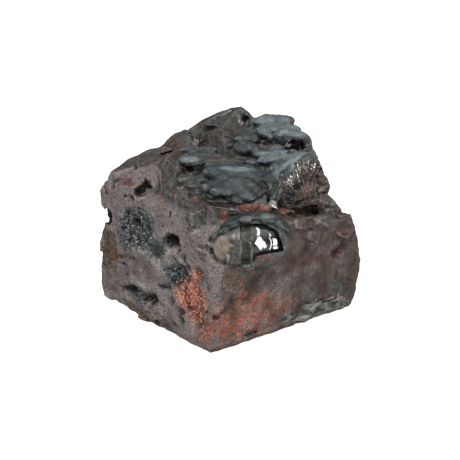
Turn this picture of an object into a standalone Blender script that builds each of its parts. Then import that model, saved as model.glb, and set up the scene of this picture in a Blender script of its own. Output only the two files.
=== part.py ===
"""A rough lump of hematite: a broken block of vuggy ore with a botryoidal crust on top."""

import math

import bmesh
import bpy
import numpy as np
from mathutils import Matrix, Vector, noise

# Sizes and places are in millimetres, measured from the lump's front bottom corner: +X runs along
# the brown face, +Y runs back along the mauve face, and +Z is up. The finished mesh is in metres.
# MIDDLE is where the middle of the finished lump falls, and comes over the origin.
MM = 0.001
MIDDLE = (29.6, 30.97)

# The grain of the skin that the pieces grow together into, and how far it is thinned out.
SKIN_GRAIN = 0.6
TRIANGLES = 10900
SHARP_DEG = 38

# How deep the chips off a shard's edges go, and how far down a chip may face.
CHIP_DEPTHS = (0.3, 1.6)
LOWEST_CHIP = -0.55

# Each break is a point on it, the heading of its outward normal in degrees from +X towards +Y,
# and the normal's tilt above the horizon.
SIDES = {
    "mauve_face": ((-0.8, 8, 4), 185.5, 6),
    "mauve_face_upper": ((-0.3, 30, 32), 185, 17),
    "mauve_face_crown": ((3.5, 28, 42), 186, 36),
    "right_face": ((62.8, 25, 25), 0, 4),
    "back_face": ((30, 65, 30), 90, 2),
    "left_back_slope": ((8, 64, 46.4), 160, 72.5),
    "back_top": ((24, 64, 47.3), 100, 78),
    "left_back_corner": ((0, 63.5, 26), 140, 3),
    "back_right_chip": ((58, 58, 30), 45, 4),
    "brow": ((9.5, 3.5, 39), 228, 35),
}
BLOCK = SIDES | {
    "base": ((30, 30, -3), 0, -90),
    "brown_face": ((35, -1.5, 10), 266, 3),
    "brown_face_right": ((50, -1.9, 20), 276, 3),
    "ledge": ((46, 5, 37.6), 12, 77),
    "front_corner": ((1.0, 1.0, 10), 224, 0),
    "front_foot": ((1.6, 1.6, 0), 224, -28),
    "left_foot": ((-4.6, 48, 1), 182, -34),
    "right_foot": ((30, 1.6, 0), 267, -40),
    "right_low_corner": ((66, -2, 4), 310, -30),
}
UPPER = SIDES | {
    "under": ((30, 30, 25), 0, -90),
    "top": ((33, 30, 48), 215, 86),
    "lip": ((18, 0, 43), 262, 35),
    "step": ((36, 10.5, 44), 298, 22),
    "behind_fan": ((48.5, 14.2, 42), 264, 16),
    "right_shoulder": ((62, 20, 41), 335, 20),
}
PEAK = {
    "left": ((36, 58, 52.4), 165, 60),
    "right": ((53, 49, 56), 335, 42),
    "front": ((44, 46.5, 54), 262, 40),
    "back": ((48, 57, 57), 70, 40),
    "back_face": ((43, 63.2, 50), 90, 3),
    "top": ((48, 54, 60.5), 200, 82),
    "left_end": ((32, 60, 50), 200, 30),
}
SLATE = {
    "face": ((26, 54.5, 49), 232, 50),
    "left": ((24, 58, 47), 195, 50),
    "right": ((33.5, 56, 50), 335, 45),
    "back": ((28, 63, 50), 90, 4),
    "top": ((28, 59, 51.6), 180, 84),
}
CREST = {
    "left": ((9, 40, 49.5), 196, 38),
    "front": ((14, 36, 50), 258, 38),
    "right": ((17, 42, 51.5), 330, 50),
    "back": ((14, 47, 52.5), 110, 60),
}
SHARDS = (  # the breaks, the shard's middle, its rough size, chips off its edges, and their seed
    (BLOCK, (30, 30, 25), 90, 60, 7),
    (UPPER, (30, 30, 45), 90, 30, 11),
    (PEAK, (43, 52, 47), 28, 8, 3),
    (SLATE, (26, 57, 44), 22, 6, 4),
    (CREST, (14, 40, 43), 24, 6, 5),
)

# Each lobe of the crust is its middle, its half sizes along, across and up, its heading and lean.
LOBES = (
    ((27, 22, 48.5), (10.5, 6.5, 5.5), -40, 4),
    ((21.5, 15.5, 46.3), (10.5, 6.5, 5.5), -36, 4),
    ((19.3, 13.6, 47.4), (3.5, 3, 3), -36, 0),
    ((25, 11.8, 46.3), (4, 3, 3), -36, 0),
    ((15, 32, 47.6), (5, 4, 3.2), -30, 0),
    ((19.5, 29.5, 48.2), (4.6, 4, 3.2), -36, 0),
    ((13.5, 28.5, 45), (3.5, 3, 3), -30, 0),
    ((15.8, 25.2, 44), (3, 2.5, 2.5), -30, 0),
    ((21, 40.5, 49.5), (5.8, 4.5, 4), -36, 0),
    ((27, 52, 48.5), (3.6, 3.5, 3), -36, 0),
    ((30.6, 44.5, 49), (4.6, 4, 3.8), -36, 0),
    ((27, 45.5, 48.6), (4, 3.5, 3), -36, 0),
    ((28.5, 39.5, 48.2), (5.5, 3.5, 3), -36, 0),
    ((41, 37, 49.5), (5.2, 4.5, 4.6), -36, 0),
    ((44, 42, 50), (4.5, 4.5, 4), -36, 0),
    ((47.5, 47, 50), (5.5, 5.5, 4.6), -36, 0),
    ((53.5, 49, 51), (5, 5, 5), -36, 0),
    ((56, 44, 53.6), (5.2, 4.6, 4.8), -36, 0),
    ((60, 40, 54), (4.6, 4.6, 4.6), -36, 0),
    ((52, 40, 51.4), (6, 5.5, 5), -36, 0),
    ((56.5, 36.5, 52), (6, 5.5, 5.2), -36, 0),
    ((56.5, 29, 52.2), (6.6, 5.5, 5.6), -36, 0),
    ((57.5, 24.5, 48.5), (5, 4, 4), -36, 0),
    ((43, 30.5, 50), (4, 4, 3.6), -36, 0),
    ((43, 24, 50), (5.5, 4.5, 4.2), -30, 0),
    ((49.6, 28.5, 50.5), (4.5, 4, 4), -36, 0),
    ((47, 20, 50), (6, 4.5, 5), -25, 0),
    ((41, 17.5, 48.2), (5, 4.5, 5.5), -25, 0),
    ((35.5, 15, 46.5), (4.2, 4.5, 6), -20, 0),
    ((54, 35, 47.5), (8.5, 10, 6), 0, 0),
    ((45, 22, 46.5), (8, 7, 5.5), 0, 0),
)
# The crust broke off with the block at the right end and at the back.
CRUST_ENDS = {
    "right": ((63.3, 30, 50), 2, 10),
    "back": ((50, 63.6, 50), 88, 8),
}
# A botryoid that broke open is a lobe with breaks across it.
BROKEN_LOBES = (
    (((48.7, 16.8, 43.7), (11, 11, 11), -8, 0), {"fan": ((48.5, 11.7, 45), 264, 16)}),
    (((18.6, 2.9, 36.6), (13.4, 6.8, 8), -16, 2), {"left_facet": ((7.4, 3, 38.5), 214, 14)}),
    (((18.6, 3.2, 36.9), (14, 8, 9.2), -16, 2), {"shell_break": ((16, 0, 40.8), 240, -30)}),
    (((18.8, 3.8, 37.2), (14.4, 9.2, 10.4), -16, 2), {"shell_break": ((17, 3, 43.4), 240, -30)}),
)

# Each hollow is a place on the skin, its half width and half height, its depth, the heading and
# tilt of the skin's outward normal there, and its roll in the skin.
HOLLOWS = {
    "druse": ((-1.1, 42, 31.5), (7, 6), 2.6, 184, 8, 20),
    "smooth_patch": ((-0.6, 31.7, 27.8), (3.5, 3.5), 1.2, 184, 5, 0),
    "black_vug": ((0.9, 23.6, 34.2), (4.2, 2.8), 3.5, 184, 12, -15),
    "druse_vug": ((0.2, 19.6, 23.8), (4.6, 4.4), 3, 184, 5, 0),
    "jagged_vug": ((3.4, 44.5, 44.2), (3.4, 2.6), 2.2, 186, 30, 30),
    "long_vug": ((-2.6, 37.6, 8.4), (8.5, 2), 2.4, 185, 5, 8),
    "long_vug_end": ((-2.2, 32.2, 9), (2.8, 2), 3.4, 185, 5, 0),
    "pit_a": ((-0.9, 24, 17.2), (1.4, 1.4), 1.6, 184, 5, 0),
    "pit_b": ((-1.1, 21.8, 13.1), (1.1, 2), 1.6, 184, 5, 20),
    "pit_c": ((-0.9, 17, 10.3), (1.7, 1.5), 1.8, 184, 5, 0),
    "pit_d": ((-1.1, 15.3, 7.6), (1.7, 1.3), 1.8, 184, 5, 0),
    "pit_e": ((0.7, 58.7, 42), (1.2, 1.6), 1.4, 176, 16, 0),
    "pit_f": ((0.8, 47.8, 40.6), (1.2, 1), 1.2, 185, 17, 0),
    "ochre_hollow": ((0.2, 11.6, 17.5), (5, 9), 1.5, 185, 5, 14),
    "ochre_tip": ((0.8, 9.6, 27), (1.8, 3.4), 1.2, 185, 5, 24),
    "red_slit": ((12.1, 0.5, 17.7), (3, 0.9), 1, 266, 3, 0),
    "low_slit": ((6.1, 0.8, 15.8), (3.4, 0.9), 1, 262, 3, 20),
    "right_slit": ((52.6, -0.9, 25), (3.6, 1.2), 1.2, 277, 3, 24),
    "dot": ((38.7, -1, 24.5), (1, 1), 1.2, 268, 3, 0),
    "fan_foot": ((47, 9, 37), (9, 1.8), 1.6, 264, 40, 0),
    "left_nick": ((-2.4, 60, 30.5), (3.6, 2.6), 2.8, 165, 6, 0),
    "mushroom": ((18.6, 37.6, 49.2), (3.4, 1.8), 2.6, 235, 25, 0),
    "right_mushroom": ((54.6, 24.4, 54), (4, 1.8), 3, 242, 18, 0),
    "gleam": ((49.6, 47, 55.2), (1.8, 3.4), 2, 270, 35, -20),
    "right_face_scoop": ((62.5, 32, 26), (8, 3.4), 2.2, 0, 4, 24),
    "right_face_pit": ((63, 48, 12), (4, 3), 2, 0, 4, 0),
    "back_scoop": ((44, 65, 30), (7, 4.5), 2.4, 90, 2, -18),
    "back_cleft": ((17, 65, 24), (2.4, 8), 2, 90, 2, 20),
    "back_pit": ((33, 65, 11), (4, 2.4), 2, 90, 2, 0),
}

# A hollow's floor is rounded off over FLOOR_ROUND of its half size, and its rim wanders by
# RIM_WANDER_SHARE of that, in bends RIM_WANDER apart. It reaches skin up to HOLLOW_SKIN past
# its depth.
FLOOR_ROUND = 0.6
RIM_REACH = 1.25
RIM_WANDER = 2.2
RIM_WANDER_SHARE = 0.5
RIM_WANDER_START = (5, 9, 2)
HOLLOW_SKIN = 3
HOLLOW_FADE = 1.5

# The broken skin's unevenness is how far apart its bumps are and how high they stand. The crust
# is smoother by this share.
BUMPS = ((11, 0.7), (4.5, 0.45), (1.8, 0.22))
SMOOTH_CRUST = 0.75
# Skin this near a lobe's surface, as a share of the lobe's size, belongs to the crust. The edge
# of the crust fades over CRUST_FADE.
CRUST_SKIN = 0.2
CRUST_FADE = 0.12

# How finely a lobe is rounded before the pieces grow together.
LOBE_ROUNDS = 4

ORE_COLOUR = (0.12, 0.105, 0.1)
ORE_ROUGHNESS = 0.55
ORE_METALLIC = 0.15


def direction(heading, tilt):
    """The unit vector with this heading from +X towards +Y and this tilt above the horizon."""
    h, t = math.radians(heading), math.radians(tilt)
    return Vector((math.cos(h) * math.cos(t), math.sin(h) * math.cos(t), math.sin(t)))


def cleave(bm, point, normal):
    """Breaks away all that lies past a plane and closes the break."""
    geometry = bm.verts[:] + bm.edges[:] + bm.faces[:]
    cut = bmesh.ops.bisect_plane(
        bm, geom=geometry, plane_co=point, plane_no=normal, clear_outer=True
    )
    rim = [e for e in cut["geom_cut"] if isinstance(e, bmesh.types.BMEdge)]
    if rim:
        bmesh.ops.edgeloop_fill(bm, edges=rim)


def shard(breaks, middle, size, chips, seed):
    """A convex piece of rock: a cube cleaved by its breaks, then chipped along its edges."""
    bm = bmesh.new()
    bmesh.ops.create_cube(bm, size=size, matrix=Matrix.Translation(middle))
    for point, heading, tilt in breaks.values():
        cleave(bm, Vector(point), direction(heading, tilt))
    rng = np.random.default_rng(seed)
    for _ in range(chips):
        way = Vector(rng.normal(size=3)).normalized()
        corner = max(bm.verts, key=lambda v: v.co.dot(way))
        depth = rng.uniform(*CHIP_DEPTHS)
        if way.z > LOWEST_CHIP:
            cleave(bm, corner.co - way * depth, way)
    return bm


def lobe_place(middle, half_sizes, heading, lean):
    """Where a round unit ball becomes the lobe."""
    turn = Matrix.Rotation(math.radians(heading), 4, "Z")
    tip = Matrix.Rotation(math.radians(lean), 4, "Y")
    return Matrix.Translation(middle) @ turn @ tip @ Matrix.Diagonal((*half_sizes, 1))


def lobe(whole, breaks):
    """One round lobe of the crust, with the breaks across it."""
    bm = bmesh.new()
    bmesh.ops.create_icosphere(
        bm, subdivisions=LOBE_ROUNDS, radius=1, matrix=lobe_place(*whole)
    )
    for point, heading, tilt in breaks.values():
        cleave(bm, Vector(point), direction(heading, tilt))
    return bm


def joined(pieces):
    """The pieces as one mesh, still lying through each other."""
    mesh = bpy.data.meshes.new("hematite")
    whole = bmesh.new()
    for bm in pieces:
        bm.to_mesh(mesh)
        whole.from_mesh(mesh)
        bm.free()
    whole.to_mesh(mesh)
    whole.free()
    return mesh


def fused(mesh, grain):
    """The pieces grown together into one closed skin."""
    obj = bpy.data.objects.new("fusing", mesh)
    bpy.context.scene.collection.objects.link(obj)
    remesh = obj.modifiers.new("grown_together", "REMESH")
    remesh.mode = "VOXEL"
    remesh.voxel_size = grain
    graph = bpy.context.evaluated_depsgraph_get()
    made = bpy.data.meshes.new_from_object(obj.evaluated_get(graph))
    bpy.data.objects.remove(obj)
    return made


def spots(mesh):
    """Where the skin's points lie, one row each."""
    found = np.empty(len(mesh.vertices) * 3)
    mesh.vertices.foreach_get("co", found)
    return found.reshape(-1, 3)


def ways_out(mesh):
    """The skin's outward directions at its points, one row each."""
    found = np.empty(len(mesh.vertices) * 3)
    mesh.vertices.foreach_get("normal", found)
    return found.reshape(-1, 3)


def moved_to(mesh, places):
    """Moves the skin's points to these places."""
    mesh.vertices.foreach_set("co", places.ravel())
    mesh.update()


def eased(amount):
    """The amount held from 0 to 1, with soft ends."""
    t = np.clip(amount, 0, 1)
    return t * t * (3 - 2 * t)


def unevenness(places, spacing, shift):
    """Smooth bumps and dips, this far apart, at each place."""
    return np.array([noise.noise(Vector(p) / spacing + Vector(shift)) for p in places])


def carve(mesh):
    """Pushes each hollow's part of the skin inwards, with a wandering rim."""
    places = spots(mesh)
    wander = unevenness(places, RIM_WANDER, RIM_WANDER_START)
    for middle, (half_width, half_height), depth, heading, tilt, roll in HOLLOWS.values():
        out = np.array(direction(heading, tilt))
        level = np.array(direction(heading + 90, 0))
        up = np.cross(out, level)
        c, s = math.cos(math.radians(roll)), math.sin(math.radians(roll))
        away = places - np.array(middle)
        along = (away @ (level * c + up * s)) / half_width
        across = (away @ (up * c - level * s)) / half_height
        near = eased(HOLLOW_FADE - np.abs(away @ out) / (depth + HOLLOW_SKIN))
        reach = np.sqrt(along**2 + across**2) + RIM_WANDER_SHARE * wander
        sunk = depth * near * eased((RIM_REACH - reach) / FLOOR_ROUND)
        places -= np.outer(sunk, out)
    moved_to(mesh, places)


def on_crust(places):
    """How far each place lies on a lobe's round skin, from 0 to 1."""
    most = np.zeros(len(places))
    for whole in [*LOBES, *(one for one, _ in BROKEN_LOBES)]:
        back = np.array(lobe_place(*whole).inverted())
        reach = np.linalg.norm(places @ back[:3, :3].T + back[:3, 3], axis=1)
        most = np.maximum(most, eased((CRUST_SKIN - np.abs(reach - 1)) / CRUST_FADE))
    return most


def roughen(mesh):
    """Makes the broken skin uneven, and the crust a little."""
    places = spots(mesh)
    out = ways_out(mesh)
    rise = np.zeros(len(places))
    for spacing, height in BUMPS:
        rise += height * unevenness(places, spacing, (spacing, 3, 1))
    rise *= 1 - SMOOTH_CRUST * on_crust(places)
    moved_to(mesh, places + out * rise[:, None])


def largest_shell(mesh):
    """Keeps the outer skin and drops any bubble left inside it."""
    bm = bmesh.new()
    bm.from_mesh(mesh)
    unseen = set(bm.verts)
    shells = []
    while unseen:
        shell = [unseen.pop()]
        for vert in shell:
            for edge in vert.link_edges:
                other = edge.other_vert(vert)
                if other in unseen:
                    unseen.remove(other)
                    shell.append(other)
        shells.append(shell)
    shells.sort(key=len)
    for shell in shells[:-1]:
        bmesh.ops.delete(bm, geom=shell, context="VERTS")
    bm.to_mesh(mesh)
    bm.free()


def thinned(mesh, triangles):
    """The skin with about this many triangles."""
    obj = bpy.data.objects.new("thinning", mesh)
    bpy.context.scene.collection.objects.link(obj)
    decimate = obj.modifiers.new("thinned", "DECIMATE")
    decimate.ratio = triangles / (2 * len(mesh.vertices))
    graph = bpy.context.evaluated_depsgraph_get()
    made = bpy.data.meshes.new_from_object(obj.evaluated_get(graph))
    bpy.data.objects.remove(obj)
    return made


def cut_flat(mesh):
    """Breaks the foot off level, so the lump stands on one flat."""
    bm = bmesh.new()
    bm.from_mesh(mesh)
    cleave(bm, Vector((0, 0, 0)), Vector((0, 0, -1)))
    bmesh.ops.triangulate(bm, faces=bm.faces[:])
    bm.to_mesh(mesh)
    bm.free()


def lump():
    """The whole lump in millimetres."""
    pieces = [shard(*one) for one in SHARDS]
    pieces += [lobe(whole, CRUST_ENDS) for whole in LOBES]
    pieces += [lobe(whole, breaks | CRUST_ENDS) for whole, breaks in BROKEN_LOBES]
    mesh = fused(joined(pieces), SKIN_GRAIN)
    carve(mesh)
    roughen(mesh)
    mesh = fused(mesh, SKIN_GRAIN)
    largest_shell(mesh)
    mesh = thinned(mesh, TRIANGLES)
    cut_flat(mesh)
    return mesh


def ore():
    """Dark, dull grey ore."""
    material = bpy.data.materials.new("hematite_ore")
    material.use_nodes = True
    shader = material.node_tree.nodes["Principled BSDF"]
    shader.inputs["Base Color"].default_value = (*ORE_COLOUR, 1)
    shader.inputs["Roughness"].default_value = ORE_ROUGHNESS
    shader.inputs["Metallic"].default_value = ORE_METALLIC
    return material


def main():
    for obj in list(bpy.data.objects):
        bpy.data.objects.remove(obj)
    mesh = lump()
    mesh.transform(Matrix.Scale(MM, 4) @ Matrix.Translation((-MIDDLE[0], -MIDDLE[1], 0)))
    mesh.shade_smooth()
    mesh.set_sharp_from_angle(angle=math.radians(SHARP_DEG))
    mesh.materials.append(ore())
    obj = bpy.data.objects.new("hematite", mesh)
    bpy.context.scene.collection.objects.link(obj)


main()
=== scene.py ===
"""The looks of a rough lump of hematite: broken vuggy ore, a botryoidal crust and two split botryoids."""

import math

import bmesh
import bpy
import numpy as np
from mathutils import Matrix, Vector, noise
from mathutils.bvhtree import BVHTree


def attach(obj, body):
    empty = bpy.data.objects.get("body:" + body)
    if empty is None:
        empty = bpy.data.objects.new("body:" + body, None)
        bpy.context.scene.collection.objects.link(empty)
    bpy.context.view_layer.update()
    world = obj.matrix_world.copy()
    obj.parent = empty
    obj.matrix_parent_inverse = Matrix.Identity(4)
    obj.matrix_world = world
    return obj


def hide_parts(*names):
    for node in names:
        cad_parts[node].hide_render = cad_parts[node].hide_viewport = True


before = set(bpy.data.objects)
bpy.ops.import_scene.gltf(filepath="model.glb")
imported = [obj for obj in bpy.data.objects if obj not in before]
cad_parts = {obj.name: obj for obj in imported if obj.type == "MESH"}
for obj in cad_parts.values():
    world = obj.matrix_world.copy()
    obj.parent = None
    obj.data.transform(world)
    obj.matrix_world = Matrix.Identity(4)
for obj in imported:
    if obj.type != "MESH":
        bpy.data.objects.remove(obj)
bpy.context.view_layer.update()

# Sizes and places are in millimetres, measured from the lump's front bottom corner: +X runs along
# the brown face, +Y runs back along the mauve face, and +Z is up. The finished pieces are in metres.
# MIDDLE is where the middle of the lump falls, and comes over the frame's origin.
MM = 0.001
MIDDLE = (29.6, 30.97)

# The camera looks at AIM from far off. One millimetre there is PX_PER_MM wide in the picture.
PICTURE_PX = 460
LENS_MM = 150
SENSOR_MM = 36
PX_PER_MM = 2.89
AZIMUTH_DEG = -36.3
ELEVATION_DEG = 27.6
AIM = (30, 30.5, 26.5)

# The grain of each piece's skin, and the triangles that the finest ones are thinned to.
BLOCK_GRAIN = 0.42
CRUST_GRAIN = 0.32
DOME_GRAIN = 0.26
FAN_GRAIN = 0.24
CARRIER_GRAIN = 0.9
BLOCK_TRIANGLES = 196000
CRUST_TRIANGLES = 190000
SHELL_TRIANGLES = 120000

# Rounds of smoothing for the swell under the pillows, for the crust and for the dome's skins.
SWELL_ROUNDS = 8
CRUST_ROUNDS = 14
SHELL_ROUNDS = 4

# How many rounds a skin is smoothed to find its surroundings, and how far below or above them, in
# millimetres, a hollow or a ridge is full.
BLOCK_RELIEF = (7, 0.35)
CRUST_RELIEF = (14, 0.3)
DOME_RELIEF = (9, 0.3)
FAN_RELIEF = (16, 0.22)

# How finely a ball is divided, a plain one and one that is split open, and the angle at which faces
# stay sharp.
BALL_FINENESS = 4
SPLIT_FINENESS = 6
SHARP_DEG = 30
# A pixel that misses the skin is moved up to this share of the way to the picture's middle.
INWARD_SHARE = 0.5
INWARD_STEPS = 50
# Where the rim of an oval starts to fade, with 1 the oval itself, and over how much it fades.
HOLLOW_RIM = (1.25, 0.6)
STAIN_RIM = (1.2, 0.45)
OVAL_RIM = (1.3, 0.6)

# The broken ore

# How deep the chips off a shard's edges go, and how far down a chip may face.
CHIP_DEPTHS = (0.3, 1.6)
LOWEST_CHIP = -0.55

# Each break is a point on it, the heading of its outward normal in degrees from +X towards +Y,
# and the normal's tilt above the horizon.
SIDES = {
    "mauve_face": ((-0.8, 8, 4), 185.5, 6),
    "mauve_face_upper": ((-0.3, 30, 32), 185, 17),
    "mauve_face_crown": ((3.5, 28, 42), 186, 36),
    "right_face": ((62.8, 25, 25), 0, 4),
    "back_face": ((30, 65, 30), 90, 2),
    "left_back_slope": ((8, 64, 46.4), 160, 72.5),
    "back_top": ((24, 64, 47.3), 100, 78),
    "left_back_corner": ((0, 63.5, 26), 140, 3),
    "back_right_chip": ((58, 58, 30), 45, 4),
    "brow": ((9.5, 3.5, 39), 228, 35),
}
BLOCK = SIDES | {
    "base": ((30, 30, -3), 0, -90),
    "brown_face": ((35, -1.5, 10), 266, 3),
    "brown_face_right": ((50, -1.9, 20), 276, 3),
    "ledge": ((46, 5, 37.6), 12, 77),
    "front_corner": ((1.0, 1.0, 10), 224, 0),
    "front_foot": ((1.6, 1.6, 0), 224, -28),
    "left_foot": ((-4.6, 48, 1), 182, -34),
    "right_foot": ((30, 1.6, 0), 267, -40),
    "right_low_corner": ((66, -2, 4), 310, -30),
}
UPPER = SIDES | {
    "under": ((30, 30, 25), 0, -90),
    "top": ((33, 30, 48), 215, 86),
    "lip": ((18, 0, 43), 262, 35),
    "step": ((36, 10.5, 44), 298, 22),
    "behind_fan": ((48.5, 14.2, 42), 264, 16),
    "right_shoulder": ((62, 20, 41), 335, 20),
}
PEAK = {
    "left": ((36, 58, 52.4), 165, 60),
    "right": ((53, 49, 56), 335, 42),
    "front": ((44, 46.5, 54), 262, 40),
    "back": ((48, 57, 57), 70, 40),
    "back_face": ((43, 63.2, 50), 90, 3),
    "top": ((48, 54, 60.5), 200, 82),
    "left_end": ((32, 60, 50), 200, 30),
}
SLATE = {
    "face": ((26, 54.5, 49), 232, 50),
    "left": ((24, 58, 47), 195, 50),
    "right": ((33.5, 56, 50), 335, 45),
    "back": ((28, 63, 50), 90, 4),
    "top": ((28, 59, 51.6), 180, 84),
}
CREST = {
    "left": ((9, 40, 49.5), 196, 38),
    "front": ((14, 36, 50), 258, 38),
    "right": ((17, 42, 51.5), 330, 50),
    "back": ((14, 47, 52.5), 110, 60),
}
SHARDS = (  # the breaks, the shard's middle, its rough size, chips off its edges, and their seed
    (BLOCK, (30, 30, 25), 90, 60, 7),
    (UPPER, (30, 30, 45), 90, 30, 11),
    (PEAK, (43, 52, 47), 28, 8, 3),
    (SLATE, (26, 57, 44), 22, 6, 4),
    (CREST, (14, 40, 43), 24, 6, 5),
)

# A rock is cleaved by this many planes, at these shares of its half size from its middle. Rocks are
# angular lumps of the broken ore, each with its middle, half width and half height in pixels, its
# roll in the picture, its half thickness and how far its middle is sunk, in millimetres.
ROCK_BREAKS = 14
ROCK_DEPTHS = (0.72, 1.02)
ROCKS = (
    ((167, 179), (9, 22), 8, 2.5, 1.6),
    ((181, 199), (7, 12), 4, 2.5, 1.6),
    ((197, 219), (12, 10), -8, 2.5, 1.7),
    ((213, 218), (6, 11), 4, 2.5, 1.4),
    ((224, 214), (6, 7), 16, 2.2, 1.2),
    ((246, 208), (13, 5.5), -4, 2, 1),
    ((263, 208), (8, 5), 10, 2, 1),
    ((284, 213), (12, 5), 14, 2.5, 1.4),
    ((299, 220), (12, 5), 0, 2.5, 1.6),
    ((318, 222), (10, 6), 4, 2.5, 1.6),
    ((320, 189), (5, 5), 20, 2, 1.4),
    ((204, 252), (9, 4), 30, 2, 1.2),
    ((250, 265), (8, 4), -20, 1.6, 0.8),
    ((105, 195), (6, 14), 6, 2.5, 1.8),
    ((128, 172), (14, 5), -28, 2.5, 1.8),
    ((172, 168), (10, 7), -20, 3, 2.2),
    ((105, 240), (5, 12), 4, 2, 1.4),
    ((112, 296), (9, 5), 28, 2, 1.4),
    ((146, 318), (9, 5), 24, 2, 1.2),
)

# Flat-faced slabs of the broken ore, each with its corners clockwise in the picture, the heading
# and tilt of its face, how far the face stands out and how thick it is, in millimetres.
SLABS = (
    (
        ((201, 125), (209, 118), (218, 114), (227, 108), (232, 107), (239, 114), (241, 124), (230, 128)),
        (262, 40), 0.9, 5,
    ),
    (((176, 139.5), (197, 124.5), (204, 130), (200, 142), (188, 147)), (228, 40), 0.9, 5),
    (((204, 130), (210, 134.5), (203, 142), (199.5, 141)), (290, 40), 0.6, 4),
    (
        ((124, 164), (137, 154.5), (150, 149), (166, 146.5), (178, 151), (160, 157), (138, 160)),
        (200, 55), 0.7, 4,
    ),
    (((158, 172), (166, 157), (172, 163), (178, 178), (177, 196), (162, 202)), (250, 30), 0.7, 3),
    (((174, 196), (182, 186), (188, 192), (188, 206), (178, 211)), (240, 24), 0.7, 3),
    (((190, 214), (204, 209), (209, 216), (204, 226), (192, 226)), (246, 40), 0.5, 3),
    (
        ((320, 195), (327, 194), (335, 204), (342, 213), (334, 222), (325, 238), (318, 218)),
        (262, 26), 0.9, 5,
    ),
    (
        ((336, 219), (344, 214), (350, 214.5), (353, 221), (355, 233), (348, 240), (339, 236)),
        (272, 34), 0.6, 4,
    ),
    (((295, 220), (302, 216.5), (309, 221), (306, 230), (297, 228)), (262, 40), 0.6, 3),
    (((309, 227), (317, 222), (321, 232), (318, 246), (310, 240)), (268, 20), 0.6, 3),
)
SLAB_ROUGH_MM = 60
# No slab reaches past the lump's back or its right end.
SLAB_LIMITS = (((0, 62.5, 0), (0, 1, 0)), ((60, 0, 0), (1, 0, 0)))

# Each hollow is a place on the skin, its half width and half height, its depth, the heading and
# tilt of the skin's outward normal there, and its roll in the skin.
HOLLOWS = {
    "druse": ((-1.1, 42, 31.5), (7, 6), 2.6, 184, 8, 20),
    "smooth_patch": ((-0.6, 31.7, 27.8), (3.5, 3.5), 1.2, 184, 5, 0),
    "black_vug": ((0.9, 23.6, 34.2), (4.2, 2.8), 3.5, 184, 12, -15),
    "druse_vug": ((0.2, 19.6, 23.8), (4.6, 4.4), 3, 184, 5, 0),
    "jagged_vug": ((3.4, 44.5, 44.2), (3.4, 2.6), 2.2, 186, 30, 30),
    "long_vug": ((-2.6, 37.6, 8.4), (8.5, 2), 2.4, 185, 5, 8),
    "long_vug_end": ((-2.2, 32.2, 9), (2.8, 2), 3.4, 185, 5, 0),
    "pit_a": ((-0.9, 24, 17.2), (1.4, 1.4), 1.6, 184, 5, 0),
    "pit_b": ((-1.1, 21.8, 13.1), (1.1, 2), 1.6, 184, 5, 20),
    "pit_c": ((-0.9, 17, 10.3), (1.7, 1.5), 1.8, 184, 5, 0),
    "pit_d": ((-1.1, 15.3, 7.6), (1.7, 1.3), 1.8, 184, 5, 0),
    "pit_e": ((0.7, 58.7, 42), (1.2, 1.6), 1.4, 176, 16, 0),
    "pit_f": ((0.8, 47.8, 40.6), (1.2, 1), 1.2, 185, 17, 0),
    "ochre_hollow": ((0.2, 11.6, 17.5), (5, 9), 1.5, 185, 5, 14),
    "ochre_tip": ((0.8, 9.6, 27), (1.8, 3.4), 1.2, 185, 5, 24),
    "red_slit": ((12.1, 0.5, 17.7), (3, 0.9), 1, 266, 3, 0),
    "low_slit": ((6.1, 0.8, 15.8), (3.4, 0.9), 1, 262, 3, 20),
    "right_slit": ((52.6, -0.9, 25), (3.6, 1.2), 1.2, 277, 3, 24),
    "dot": ((38.7, -1, 24.5), (1, 1), 1.2, 268, 3, 0),
    "fan_foot": ((47, 9, 37), (9, 1.8), 1.6, 264, 40, 0),
    "left_nick": ((-2.4, 60, 30.5), (3.6, 2.6), 2.8, 165, 6, 0),
    "mushroom": ((18.6, 37.6, 49.2), (3.4, 1.8), 2.6, 235, 25, 0),
    "right_mushroom": ((54.6, 24.4, 54), (4, 1.8), 3, 242, 18, 0),
    "gleam": ((49.6, 47, 55.2), (1.8, 3.4), 2, 270, 35, -20),
    "right_face_scoop": ((62.5, 32, 26), (8, 3.4), 2.2, 0, 4, 24),
    "right_face_pit": ((63, 48, 12), (4, 3), 2, 0, 4, 0),
    "back_scoop": ((44, 65, 30), (7, 4.5), 2.4, 90, 2, -18),
    "back_cleft": ((17, 65, 24), (2.4, 8), 2, 90, 2, 20),
    "back_pit": ((33, 65, 11), (4, 2.4), 2, 90, 2, 0),
}

# A hollow is pushed in this many times as deep as it is, and a little more, and then fades.
HOLLOW_REACH = 1.5
HOLLOW_SLACK_MM = 3

# Waves come in layers, each how far apart its bumps are, how high they stand and where its noise
# starts. These make the rims of the hollows and of the stains wander.
RIM_WAVES = ((2.2, 0.5, (5, 9, 2)),)
STAIN_WAVES = ((1.6, 1, (1, 2, 3)), (0.6, 0.5, (4, 4, 1)))

# The broken skin's bumps: how far apart they are and how high they stand. They fade over this
# height, down to this share.
BUMPS = ((11, 0.7), (4.5, 0.45), (1.8, 0.22), (0.9, 0.13), (0.5, 0.07))
CALM_HEIGHT = (45, 4)
CALM_SHARE = 0.6

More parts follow.
